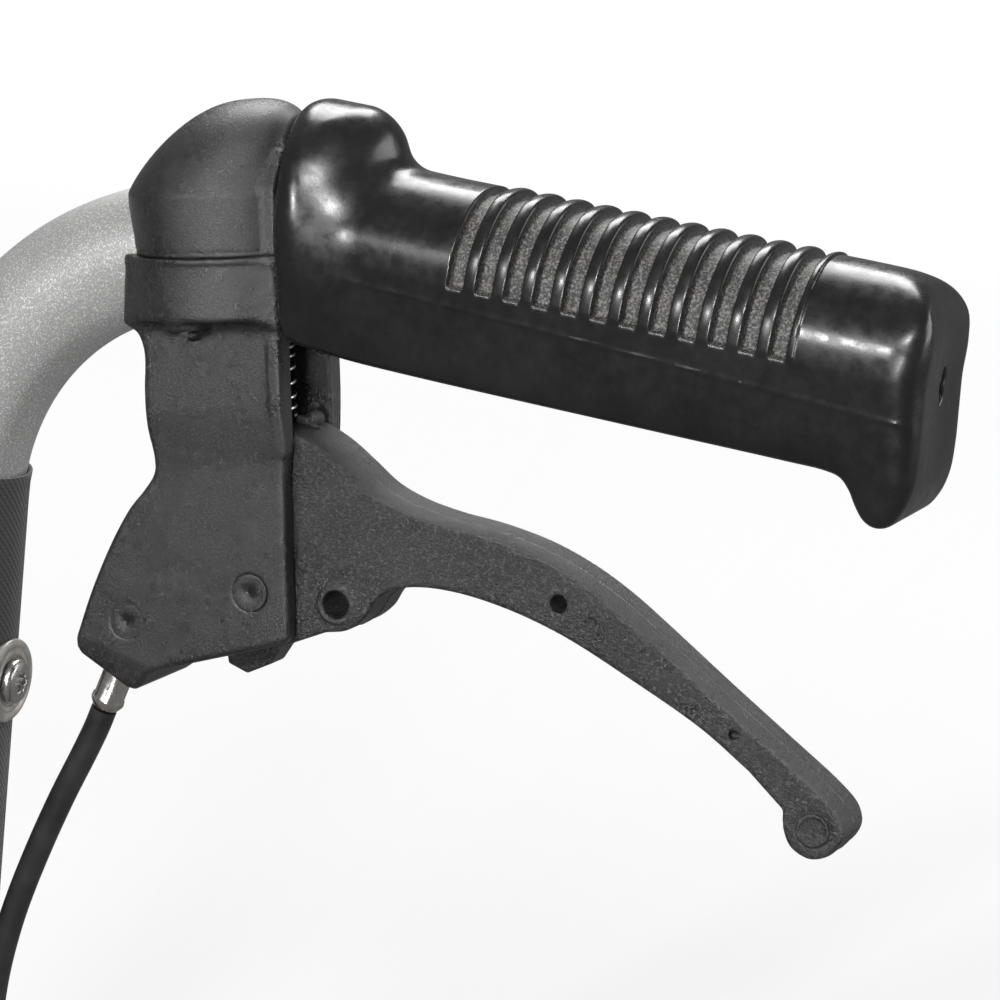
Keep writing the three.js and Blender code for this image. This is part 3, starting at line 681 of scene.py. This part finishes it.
def bar(name, radius, start, stop):
    """A closed round bar between two points, for cutting."""
    line = [np.asarray(start, float) + (np.asarray(stop, float) - start) * t for t in (0, 0.5, 1)]
    return skin_of_rings(name, tube_rings(line, radius, 48), ROW, None)


def screw_hole(name):
    """The cutter for the hole that the sleeve's screw passes through."""
    return bar(name, SCREW_HOLE_R, (5, 0, WASHER_Z), (20, 0, WASHER_Z))


def make_tube():
    line = handle_line(2.0, TUBE_IN_GRIP)
    outer, inner = tube_rings(line, TUBE_R, 112), tube_rings(line, TUBE_R - TUBE_WALL, 112)
    soft = tube_rings(line, TUBE_R - 0.3, 112)
    rings = [soft[0]] + outer + [soft[-1]] + inner[::-1]
    tube = skin_of_rings("handle_tube_lacquered", rings, ROW, SILVER, True)
    bolt_hole = bar("bolt_cut", BOLT_HOLE_R, (0, -20, BOLT_Z), (0, 20, BOLT_Z))
    carve(tube, bolt_hole, screw_hole("screw_cut"))
    return finished(tube, "frame", "handle_tube")


def make_plug():
    stem = TUBE_R - TUBE_WALL - GAP
    profile = [
        (0.01, 0), (9, 0), (TUBE_R - 1, 0), (TUBE_R - 0.3, 0.25), (TUBE_R, 0.9), (TUBE_R - 0.1, 1.6),
        (TUBE_R - 0.6, 1.7), (stem, 1.7), (stem, 5), (stem, 12.8), (stem - 0.8, 14.3), (stem - 2.5, 14.5),
        (stem - 2.5, 3.6), (stem - 3.2, 3.5), (0.01, 3.5),
    ]
    plug = turned("end_plug_moulded", profile, ROW, BODY, 96)
    return finished(plug, "frame", "tube_end_plug")


def make_sleeve():
    line = [p for p in handle_line(SLEEVE_LOW, 0, 1.0) if p[2] < SLEEVE_HIGH - 0.5 and p[0] < BEND_R]
    fine = np.array(line)
    inner, outer = TUBE_R + GAP, TUBE_R + GAP + SLEEVE_WALL
    middle = outer - 0.25
    hem = 0.4 * np.exp(-((fine[:, 2] - fine[:, 2].max() + 2.5) / 0.6) ** 2)
    out = tube_rings(fine, outer, 160)
    out = [c + (ring - c) * (1 - 0.18 * h / outer) for c, ring, h in zip(fine, out, hem)]
    rings = [tube_rings(fine, middle, 160)[0]] + out + [tube_rings(fine, middle, 160)[-1]]
    rings += tube_rings(fine, inner, 160)[::-1]
    sleeve = skin_of_rings("sleeve_webbing", rings, ROW, WEBBING, True)
    carve(sleeve, screw_hole("sleeve_cut"))
    finished(sleeve, "frame", "fabric_sleeve")


def make_washer():
    """A cupped saddle washer that stands on the sleeve."""
    base = TUBE_R + GAP + SLEEVE_WALL
    face = base + WASHER_PROUD
    axes, x, y, z = grid((9.5, -9.2, -9.2), (face + 1, 9.2, 9.2), 0.16)
    r = np.hypot(y, z)
    disc = thick(r - WASHER_R, np.abs(x - (face + 6) / 2) - (face - 6) / 2, 0.9)
    seat = thick(r - 5.0, np.abs(x - face - 2) - 2 - WASHER_RECESS, 0.3)
    groove = np.hypot(r - 6.4, x - face) - 0.35
    saddle = np.hypot(x, y) - (base + GAP)
    field = without(without(disc, seat, 0.3), groove, 0.2)
    field = without(field, either(saddle, r - SCREW_HOLE_R), 0.3)
    place = Matrix.Translation((0, 0, WASHER_Z))
    washer = skin_of_field("saddle_washer", field, axes, place, WASHER)
    return finished(washer, "frame", "sleeve_washer")


def make_screw():
    """A pan head with a six-lobed recess."""
    face = TUBE_R + GAP + SLEEVE_WALL + WASHER_PROUD
    low = face - WASHER_RECESS + GAP
    top = low + 2.2
    axes, x, y, z = grid((7.4, -5, -5), (top + 0.6, 5, 5), 0.12)
    r, turn = np.hypot(y, z), np.arctan2(z, y)
    domed = top - 0.035 * r ** 2
    head = both(both(r - 4.4, low - x, 0.3), x - domed, 0.9)
    shank = both(both(r - 2.4, x - low - 0.5), 8 - x, 0.8)
    lobes = r - (1.75 + 0.32 * np.cos(6 * turn))
    recess = both(lobes, top - 1.3 - x, 0.15)
    field = without(either(head, shank, 0.2), recess, 0.15)
    screw = skin_of_field("sleeve_screw_plated", field, axes, Matrix.Translation((0, 0, WASHER_Z)), STEEL)
    return finished(screw, "frame", "sleeve_screw")


# ------------------------------------------------------------------ the brake housing
def tube_field(x, y, z, place, radius):
    """Distance to the bent tube's surface from points of another frame."""
    m = np.array(place)
    rx = m[0, 0] * x + m[0, 1] * y + m[0, 2] * z + m[0, 3]
    ry = m[1, 0] * x + m[1, 1] * y + m[1, 2] * z + m[1, 3]
    rz = m[2, 0] * x + m[2, 1] * y + m[2, 2] * z + m[2, 3]
    out = np.hypot(np.hypot(rx - BEND_R, rz - LEG) - BEND_R, ry)
    back = np.array(GRIP.inverted())
    gx = back[0, 0] * rx + back[0, 2] * rz + back[0, 3]
    gz = back[2, 0] * rx + back[2, 2] * rz + back[2, 3]
    stub = np.hypot(gz, ry)
    return np.where(gx > 0, stub, out) - radius


def fork_outline():
    back = through([
        (-20.5, -11.3), (-18.2, -13.6), (-17.1, -17), (-17.4, -24), (-17.3, -31), (-16.5, -36.5),
        (-16.7, -39.4), (-18.9, -42.6), (-22, -46), (-25.9, -52), (-30.8, -61.6), (-34.6, -70.9),
    ], 6)
    foot = [
        (-34.7, -72.6), (-33.9, -74), (-24.9, -80.1), (-23.2, -80.5), (-21.8, -79.6), (-20.4, -77.6),
        (-17.6, -76.4),
    ]
    front = [
        (8.2, -70.5), (9.3, -69.4), (9.6, -66), (9.7, -52), (9.9, -40), (10.5, -33), (10.6, -16),
        (10.6, 0.3),
        (-19, 0.3),
    ]
    return [tuple(p) for p in back] + foot + front


def slot_outline():
    return [
        (30, -15.6), (-12.6, -15.6), (-12.6, -34), (-12, -39.6), (-17.4, -47), (-21.4, -53.4),
        (-26.2, -62.6),
        (-29.4, -67.2), (-21.6, -72.3), (-15.8, -73.6), (-14, -95), (30, -95),
    ]


def ease(t):
    t = np.clip(t, 0, 1)
    return t * t * (3 - 2 * t)


def casing_field(x, y, z, start, stop, radius, edge=0.3):
    """A bar along the cable's casing: positive places lie outside the housing."""
    turn = math.radians(CASING_TURN)
    dx, dz = x - BOSS_MOUTH[0], z - BOSS_MOUTH[1]
    along = -dx * math.sin(turn) - dz * math.cos(turn)
    side = dx * math.cos(turn) - dz * math.sin(turn)
    middle, half = (start + stop) / 2, (stop - start) / 2
    return thick(np.hypot(side, y) - radius, np.abs(along - middle) - half, edge)


def make_housing():
    axes, x, y, z = grid((-37, -20, -82), (13, 20, 3), 0.36)
    width = FORK_Y - 1.0 * ease((-26 - z) / 13)
    crease = (x + 34.8) * -0.36 - (z + 70.0)
    width = width - 0.13 * np.clip(crease, 0, 9)
    outer = thick(outline_field(fork_outline(), axes[0], axes[2]), np.abs(y) - width, 1.1)
    strip = both(np.abs(x - 9.3) - 1.15, both(-36 - z, z + 14.5), 1.2)
    strip = both(strip, np.abs(y) - width - 0.3 * (1 - ease((-22 - z) / 12)), 0.3)
    skirt = both(np.hypot(x - SKIRT_X, y) - SKIRT_R, np.abs(z + 5.15) - 5.75, 1.0)
    bead = both(np.hypot(x - SKIRT_X, y) - SKIRT_R - 0.25, np.abs(z - 0.15) - 0.5, 0.3)
    skirt = both(either(skirt, bead, 0.3), x - COLLAR_RIGHT - 0.35, 0.7)
    solid = either(either(outer, strip, 0.5), skirt, 3.2)
    for side in (-1, 1):
        boss = both(np.hypot(x + 7, y - side * 14.2) - 4.1, both(-12.7 - z, z + 8), 0.8)
        solid = either(solid, boss, 1.2)
    slot = thick(outline_field(slot_outline(), axes[0], axes[2]), np.abs(y) - SLOT_Y, 0.5)
    solid = without(solid, slot, 0.8)
    solid = without(solid, tube_field(x, y, z, HOUSING, TUBE_R + GAP), 0.4)
    for place, shaft in ((PIVOT, 3.5), (GUIDE, 1.9)):
        px, pz = on_housing(place)
        r = np.hypot(x - px, z - pz)
        solid = without(solid, both(r - 3.3, width - 2.4 - np.abs(y)), 0.1)
        solid = without(solid, r - shaft + 0 * y, 0.1)
    gx, gz = on_housing(GUIDE)
    solid = without(solid, both(np.hypot(x - gx, z - gz) - 4.6, np.abs(y) - SLOT_Y), 0.3)
    boss = casing_field(x, y, z, -9, -0.2, 6.0, 1.2)
    solid = either(solid, boss, 1.6)
    solid = without(solid, casing_field(x, y, z, -FERRULE_IN - GAP, 12, FERRULE_R + 0.25), 0.4)
    solid = without(solid, casing_field(x, y, z, -14, 2, 1.2), 0.2)
    for side in (-1, 1):
        recess = both(np.hypot(x + 7, y - side * 15) - 2.7, z + 10.6)
        solid = without(solid, both(recess, -14.6 - z), 0.2)
    housing = skin_of_field("brake_housing_moulded", solid, axes, HOUSING, BODY)
    return finished(housing, "frame", "brake_housing")


def make_cap():
    axes, x, y, z = grid((-25, -20, 0.2), (15, 20, 29.5), 0.36)
    t = (z - CREASE) / (CROWN - CREASE)
    middle = COLLAR_X + 6 * np.clip(t, 0, 1) ** 1.5
    radius = np.hypot(x - middle, y)
    crown = even((radius / COLLAR_R) ** 2.7 + np.clip(t, 0, 2) - 1, axes)
    crown = both(crown, x - COLLAR_RIGHT - 0.3, 1.6)
    lump = even(
        (np.abs(x - 3) / 12.4) ** 2.4 + (np.abs(y) / 10.8) ** 2.4 + (np.abs(z - 8) / 20) ** 2.4 - 1, axes,
    )
    wedge = np.maximum(np.maximum((z - 19.4) * 0.56 + (np.abs(y) - 9.0) * 0.83, np.abs(y) - 13.2), x - 13.4)
    wedge = np.maximum(np.maximum(wedge, z - 19.6), 4 - x)
    shoulder = np.maximum(np.maximum(np.abs(y) - 13.2, 2 - x), z - 13.0)
    solid = either(either(crown, lump, 0.8), either(wedge, shoulder, 0.5), 0.7)
    solid = both(solid, COLLAR_SPLIT + 0.1 - z, 0.5)
    grip_x = x * math.cos(math.radians(TILT)) - z * math.sin(math.radians(TILT))
    guard = np.minimum(10.9 - x, 12.2 - grip_x) + 0 * y
    solid = both(solid, -guard, 0.8)
    lip = np.hypot(np.hypot(x - COLLAR_X, y) - COLLAR_R, z - 1.7) - 0.2
    solid = without(solid, both(lip, x - 8), 0.15)
    solid = without(solid, tube_field(x, y, z, HOUSING, TUBE_R + GAP), 0.4)
    cap = skin_of_field("housing_cap_moulded", solid, axes, HOUSING, BODY)
    return finished(cap, "frame", "housing_cap")


def pin_profile(radius, half, dish=0.12):
    """A pin about Z with dished, slightly rounded ends."""
    top = [
        (0.01, half - dish), (radius * 0.7, half - dish * 0.8), (radius, half),
        (radius + 0.25, half - 0.04),
        (radius + 0.3, half - 0.16), (radius, half - 0.3),
    ]
    return top + [(r, -h) for r, h in top[::-1]]


def on_pin(place, y=0.0):
    """A frame at a cross bar of the grip's plane: its Z runs along Y."""
    return GRIP @ Matrix.Translation((place[0], y, place[1])) @ Matrix.Rotation(math.radians(-90), 4, "X")


def make_pins():
    lever_pin = turned("lever_pin_turned", pin_profile(3.2, 12.1)[::-1], on_pin(PIVOT), BODY)
    finished(lever_pin, "frame", "lever_pin")
    half = 11.85
    side = [
        (0.01, half - 0.1), (2.2, half - 0.1), (3.2, half), (3.45, half - 0.04), (3.5, half - 0.16),
        (3.2, half - 0.3), (3.2, half - 1.3), (1.6, half - 1.5),
    ]
    whole = side + [(r, -h) for r, h in side[::-1]]
    guide_pin = turned("guide_pin_turned", whole[::-1], on_pin(GUIDE), BODY)
    finished(guide_pin, "frame", "guide_pin")
    wheel = [
        (1.9, -4.4), (3.7, -4.4), (3.9, -4.1), (3.9, -3.6), (3.2, -2.2), (2.9, -1.2), (2.9, 1.2),
        (3.2, 2.2),
        (3.9, 3.6), (3.9, 4.1), (3.7, 4.4), (1.9, 4.4),
    ]
    roller = turned("guide_roller_turned", wheel, on_pin(GUIDE), BODY)
    finished(roller, "roller", "guide_roller")
    nipple = turned("cable_nipple_cast", pin_profile(2.2, 2.8)[::-1], on_pin(NIPPLE, 0.4), STEEL, 40)
    finished(nipple, "lever", "cable_nipple")


# ------------------------------------------------------------------ the lever
def lever_outline():
    top = through([
        (12.5, -29.2), (16, -29.4), (21.5, -31.2), (27, -34.2), (32.3, -37.3), (37.9, -39),
        (45, -39.9), (54.3, -40.2),
        (63.9, -41.4), (72.6, -43.8), (80.6, -47.2), (88, -51.2), (102, -59.2), (114, -65.9),
        (125, -72.2),
        (128.4, -75), (129.6, -78.2), (128, -81.8), (124.4, -83.6), (120.6, -82.4), (118.7, -79.6),
        (117.9, -76),
    ], 6)
    low = through([
        (110.6, -70.7), (101, -65.4), (87.1, -59.8), (73, -54.8), (62, -52.4), (52, -51.6), (44.7, -52.2),
        (40.2, -53.6), (36.6, -56.4), (34.8, -60.2), (31.6, -63.4), (27.4, -64.8),
    ], 6)
    arm = [
        (20.4, -68.8), (17.4, -71), (15.8, -74.4), (11.4, -77.2), (7.4, -76.2), (6.2, -72.6),
        (6.4, -66), (5.4, -58),
        (4.6, -44), (4.4, -33), (5, -30),
    ]
    return [tuple(p) for p in top + low] + arm


def make_lever():
    axes, x, y, z = grid((2, -9, -86), (132, 9, -25.5), 0.36)
    half = LEVER_Y * (1 - 0.14 * ease((x - 40) / 85))
    flat = outline_field(lever_outline(), axes[0], axes[2])
    solid = thick(flat, np.abs(y) - half, 0.75)
    parting = np.hypot(y - 0.4, np.abs(flat)) - 0.22
    solid = either(solid, both(parting, 30 - x), 0.25)
    beside = both(both(3.4 - np.abs(y), x - 17), z + 69)
    solid = without(solid, beside, 0.6)
    tip = np.hypot(x - 124.1, z + 78.2)
    ring = np.hypot(tip - 2.75, np.abs(y) - half) - 0.4
    solid = either(solid, ring, 0.35)
    solid = without(solid, np.hypot(tip - 3.3, np.abs(y) - half) - 0.28, 0.2)
    boss = np.hypot(np.hypot(x - 28.9, z + 59) - 3.15, np.abs(y) - half) - 0.5
    solid = either(solid, boss, 0.6)
    for hx, hz, radius, depth in ((28.9, -59, 2.5, 99), (71.2, -49.1, 1.6, 99), (77.7, -51.1, 0.95, 0.35),
                                  (106.9, -64.9, 0.8, 1.6)):
        hole = both(np.hypot(x - hx, z - hz) - radius, half - depth - np.abs(y))
        solid = without(solid, hole, 0.25)
    solid = without(solid, np.hypot(x - PIVOT[0], z - PIVOT[1]) - 3.5 + 0 * y, 0.2)
    solid = without(solid, both(np.hypot(x - NIPPLE[0], z - NIPPLE[1]) - 2.45, -2.7 - y), 0.2)
    wire = both(both(np.abs(y) - 1.2, x - NIPPLE[0]), np.abs(z - NIPPLE[1] - 1.5) - 2.9)
    solid = without(solid, wire, 0.2)
    turn = math.radians(TILT)
    px, pz = x - 9.3, z + 29.8
    along, out = pz * math.cos(turn) - px * math.sin(turn), px * math.cos(turn) + pz * math.sin(turn)
    peg = thick(np.hypot(out, y) - 2.2, np.abs(along - 0.9) - 1.7, 0.4)
    solid = either(solid, peg, 0.4)
    lump = np.sqrt(((x - 15.5) / 1.75) ** 2 + ((y - 2.6) / 1.9) ** 2 + ((z + 28.3) / 1.7) ** 2) * 1.75 - 1.75
    pip = np.sqrt((x - 13.2) ** 2 + (y - 1.2) ** 2 + (z + 28.9) ** 2) - 1.1
    solid = either(solid, either(lump, pip, 0.4), 0.35)
    lever = skin_of_field("brake_lever_moulded", solid, axes, GRIP, LEVER)
    return finished(lever, "lever", "brake_lever")


# ------------------------------------------------------------------ spring, wire and ferrules
def make_spring():
    turns, steps = 6.4, 260
    line = []
    for k in range(steps + 1):
        t = k / steps
        lift = t + 0.035 * math.sin(2 * math.pi * t) * -1.4
        turn = t * turns * 2 * math.pi
        line.append((
            SPRING_X + SPRING_R * math.cos(turn), SPRING_R * math.sin(turn),
            SPRING_LOW + (SPRING_HIGH - SPRING_LOW) * lift,
        ))
    spring = skin_of_rings("return_spring_wound", tube_rings(line, SPRING_WIRE, 14), HOUSING, STEEL)
    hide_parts("return_spring")
    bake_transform(spring)


def make_inner_wire():
    centre, end = Vector(on_housing(GUIDE)), Vector(on_housing(NIPPLE))
    reach = 2.9 + 0.7 + 0.2
    away = end - centre
    leave = math.atan2(away.y, away.x) + math.acos(reach / away.length)
    start = math.radians(202)
    line = [
        (centre.x + reach * math.cos(t), 0, centre.y + reach * math.sin(t))
        for t in np.linspace(start, leave, 24)
    ]
    last = Vector((line[-1][0], line[-1][2]))
    stop = end - (end - last).normalized() * 2.4
    for t in np.linspace(0.1, 1, 10):
        line.append((last.x + (stop.x - last.x) * t, 0, last.y + (stop.y - last.y) * t))
    wire = skin_of_rings("inner_wire_stranded", tube_rings(line, 0.7, 16), HOUSING, STEEL)
    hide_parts("inner_wire")
    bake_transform(wire)


def make_ferrule():
    """A pressed ferrule: a plain barrel, a shoulder and a chamfered mouth."""
    length, radius = FERRULE_IN + FERRULE_OUT, FERRULE_R
    profile = [
        (1.05, 0), (radius - 0.3, 0), (radius, 0.3), (radius, 3), (radius, length - 2.6),
        (radius + 0.22, length - 2.3), (radius + 0.28, length - 1.5), (radius + 0.1, length - 1.1),
        (radius - 0.35, length - 0.35), (radius - 0.6, length),
        (CABLE_R - 0.3, length), (CABLE_R - 0.3, length - 2), (1.05, length - 2),
    ]
    start = mouth - casing_down * FERRULE_IN
    turn = Vector((0, 0, 1)).rotation_difference(casing_down).to_matrix().to_4x4()
    ferrule = turned("top_ferrule_polished", profile, Matrix.Translation(start) @ turn, FERRULE, 72)
    return finished(ferrule, "frame", "top_ferrule")


# ------------------------------------------------------------------ the grip
GROOVE_FIRST, GROOVE_STEP, GROOVES = 46.6, 5.46, 12
GROOVE_HALF, GROOVE_DEEP, RIDGE = 1.35, 1.45, 4.6


def grip_outline():
    return [tuple(p) for p in through([
        (4.6, 21), (7.3, 25.4), (9.3, 28.3), (12.2, 30.1), (15.2, 30.7), (18.7, 30.9), (22, 30.1),
        (24, 28.6),
        (25.7, 26.4), (27.2, 23.8), (29.3, 22.2), (34, 21.6), (50, 21.6), (75, 21.7), (100, 21.9),
        (116, 22.2),
        (123.6, 21.6), (128.4, 19.2), (131, 15), (131.9, 9.4), (131.9, 3.6), (132.4, -3), (132.8, -9),
        (132.7, -14),
        (131.6, -18), (129.6, -20.9), (127.2, -21.6), (125, -20.7), (123.1, -18.4), (121.6, -16),
        (119.8, -14.3),
        (117, -13.7), (110, -13.6), (80, -13.6), (40, -13.5), (26, -13.2), (16, -12.4), (10, -11.5),
        (6, -8), (5, 4),
    ], 8, True)]


def oval_field(a, b, half_a, half_b):
    """Nearly the distance to an ellipse of those half widths."""
    reach = np.hypot(a / half_a, b / half_b)
    slope = np.hypot(a / half_a ** 2, b / half_b ** 2) / np.maximum(reach, 1e-6)
    return (reach - 1) / np.maximum(slope, 1e-3)


def groove_cut(x):
    """How deep each place along the grip lies in a groove, from 0 to 1."""
    deep = np.zeros_like(x)
    for k in range(GROOVES):
        away = np.abs(x - GROOVE_FIRST - k * GROOVE_STEP)
        deep = np.maximum(deep, ease((GROOVE_HALF + 0.28 - away) / 0.56))
    return deep


def make_grip():
    coarse, fine = 0.42, 0.21
    ribs_from, ribs_to = GROOVE_FIRST - 3, GROOVE_FIRST + GROOVES * GROOVE_STEP
    axes, _, y, z = grid((0, -20.5, -25), (1, 20.5, 32.5), coarse)
    axes[0] = np.concatenate([
        np.arange(4, ribs_from, coarse),
        np.arange(ribs_from, ribs_to, fine),
        np.arange(ribs_to, 137.5, coarse),
    ])
    x = axes[0][:, None, None]
    # the hand part: half round above its widest line, and tapering below it
    wide, widest_z, high = 16.9, 4.6, 17.1
    above = (np.hypot(np.abs(y) / wide, (z - widest_z) / high) - 1) * wide
    below = np.abs(y) - (wide - 0.11 * np.clip(widest_z - z, 0, 40))
    hand = np.where(z > widest_z, above, below) + 0 * x
    silhouette = outline_field(grip_outline(), axes[0], axes[2])
    hand = both(hand, thick(silhouette, np.abs(y) - 17.4, 6.5), 2.2)
    # the guard: an upright oval bulb against the housing, cut off on a slant towards the hand
    turn = math.radians(TILT)
    left = 10.9 - (x * math.cos(turn) + z * math.sin(turn)) + 0 * y
    reach = np.minimum(28.1 - 0.5 * (z - 21.3) - 0.046 * y ** 2, 26 + 3 * np.maximum(z - 5, 0))
    right = (x - reach) / np.sqrt(1.25 + (0.092 * y) ** 2)
    guard = thick(thick(oval_field(y, z - 8.8, 18.6, 22.0), left, 6.5), right, 4.5)
    solid = either(hand, guard, 2.8)
    solid = both(solid, left, 3.2)
    # ribs stand between the flat grooves, above the ridge only
    share = ease((z - RIDGE + 0.35) / 0.7)
    between = (axes[0] - GROOVE_FIRST) / GROOVE_STEP
    rib = np.abs(between - np.round(between))
    in_ribs = (axes[0] > GROOVE_FIRST - 2.6) & (axes[0] < GROOVE_FIRST + (GROOVES - 0.5) * GROOVE_STEP)
    crown = np.where(in_ribs, 0.45 * (1 - np.clip((0.5 - rib) / 0.27, 0, 1) ** 2), 0)
    crown = np.where(axes[0] < GROOVE_FIRST + 0.01, np.minimum(crown, 0), crown)
    top_share = ease((z - 12) / 9)
    deep = groove_cut(axes[0])[:, None, None]
    drop = GROOVE_DEEP * deep * share - crown[:, None, None] * (1 - deep) * share * (0.35 + 0.65 * top_share)
    solid = solid + drop
    bore = both(np.hypot(y, z) - (TUBE_R + GAP), x - 118.6)
    pinch = np.sqrt(((x - 134.6) / 2.6) ** 2 + (y / 8.5) ** 2 + ((z - 2.4) / 11.0) ** 2) * 2.6 - 2.6
    solid = without(solid, pinch, 2.4)
    half_tear = 0.95 * np.sqrt(np.clip(1 - ((z - 2.6) / 3.4) ** 2, 0, 1))
    torn = np.abs(y - 1.0 - 0.25 * np.sin(z * 1.9)) - half_tear
    torn = np.maximum(np.maximum(torn, np.abs(z - 2.6) - 3.4), 117 - x)
    solid = without(solid, torn, 0.25)
    solid = without(solid, bore + 0 * x, 0.3)
    # the mould's parting line
    seam_z = 1.3 - 0.036 * (x - 40) - 0.00035 * np.clip(x - 60, 0, 80) ** 2 * 0.3
    proud = 0.16 * np.clip(1 - np.abs(z - seam_z) / 0.42, 0, 1) * ((x > 26) & (x < 131))
    solid = solid - proud
    grip = skin_of_field("hand_grip_vinyl", solid, axes, GRIP, VINYL)
    points = np.empty(len(grip.data.vertices) * 3)
    grip.data.vertices.foreach_get("co", points)
    back = np.array(GRIP.inverted())
    local = points.reshape(-1, 3) / MM @ back[:3, :3].T + back[:3, 3]
    floor = groove_cut(local[:, 0]) * ease((local[:, 2] - RIDGE + 0.6) / 0.8)
    paint(grip, "groove", floor)
    return finished(grip, "frame", "hand_grip")


make_tube()
make_plug()
make_sleeve()
make_washer()
make_screw()
make_housing()
make_cap()
make_pins()
make_lever()
make_spring()
make_inner_wire()
make_ferrule()
make_grip()

# ------------------------------------------------------------------ CAD nodes that stay
KEPT = {
    "clamp_screw_front": OXIDE, "clamp_screw_back": OXIDE, "coil_tie": BODY, "cable_clip_upper": BODY,
    "cable_clip_lower": BODY, "end_ferrule": FERRULE, "end_wire": STEEL, "end_nipple": STEEL,
}
for node, material in KEPT.items():
    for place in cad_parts[node].material_slots:
        place.material = material


# ------------------------------------------------------------------ floor and light
def make_floor():
    """A flat disc whose rim curves up into a wall. Gloss on the object shows the lights, not the floor."""
    flat, curve, height = 5000, 1600, 3400
    profile = [(0.01, 0), (flat, 0)]
    for turn in np.linspace(0.1, math.pi / 2, 12):
        profile.append((flat + curve * math.sin(turn), curve - curve * math.cos(turn)))
    rim = flat + curve
    profile += [(rim, height), (rim + 100, height), (rim + 100, -100), (0.01, -100)]
    floor = turned("floor", profile, ROW, pale_floor(), 96)
    floor.visible_glossy = False


def soft_box(name, place, aim, size, power):
    data = bpy.data.lights.new(name, "AREA")
    data.shape = "RECTANGLE"
    data.size, data.size_y = size
    data.energy = power
    light = bpy.data.objects.new(name, data)
    facing = (Vector(aim) - Vector(place)).to_track_quat("-Z", "Y")
    light.matrix_world = Matrix.Translation(place) @ facing.to_matrix().to_4x4()
    bpy.context.collection.objects.link(light)


make_floor()
MIDDLE = (0.1, 0, 0.2)
soft_box("top_box", (-0.2, 0.6, 1.15), MIDDLE, (0.7, 0.6), 20)
soft_box("key_box", (0.26, -0.85, 0.8), MIDDLE, (0.16, 0.16), 8)
soft_box("front_low", (0.31, -1.05, 0.3), (0.05, 0, 0.24), (0.12, 0.16), 6.5)
soft_box("hot_spot", (-0.12, -1.0, 0.56), (0.17, 0, 0.22), (0.06, 0.06), 7)
soft_box("right_box", (1.1, 0.4, 0.6), MIDDLE, (0.8, 0.8), 12)
world = bpy.data.worlds.new("studio")
world.use_nodes = True
world.node_tree.nodes["Background"].inputs["Color"].default_value = (1, 1, 1, 1)
world.node_tree.nodes["Background"].inputs["Strength"].default_value = 0.2
bpy.context.scene.world = world
bpy.context.scene.view_settings.view_transform = "Standard"

bpy.context.view_layer.update()
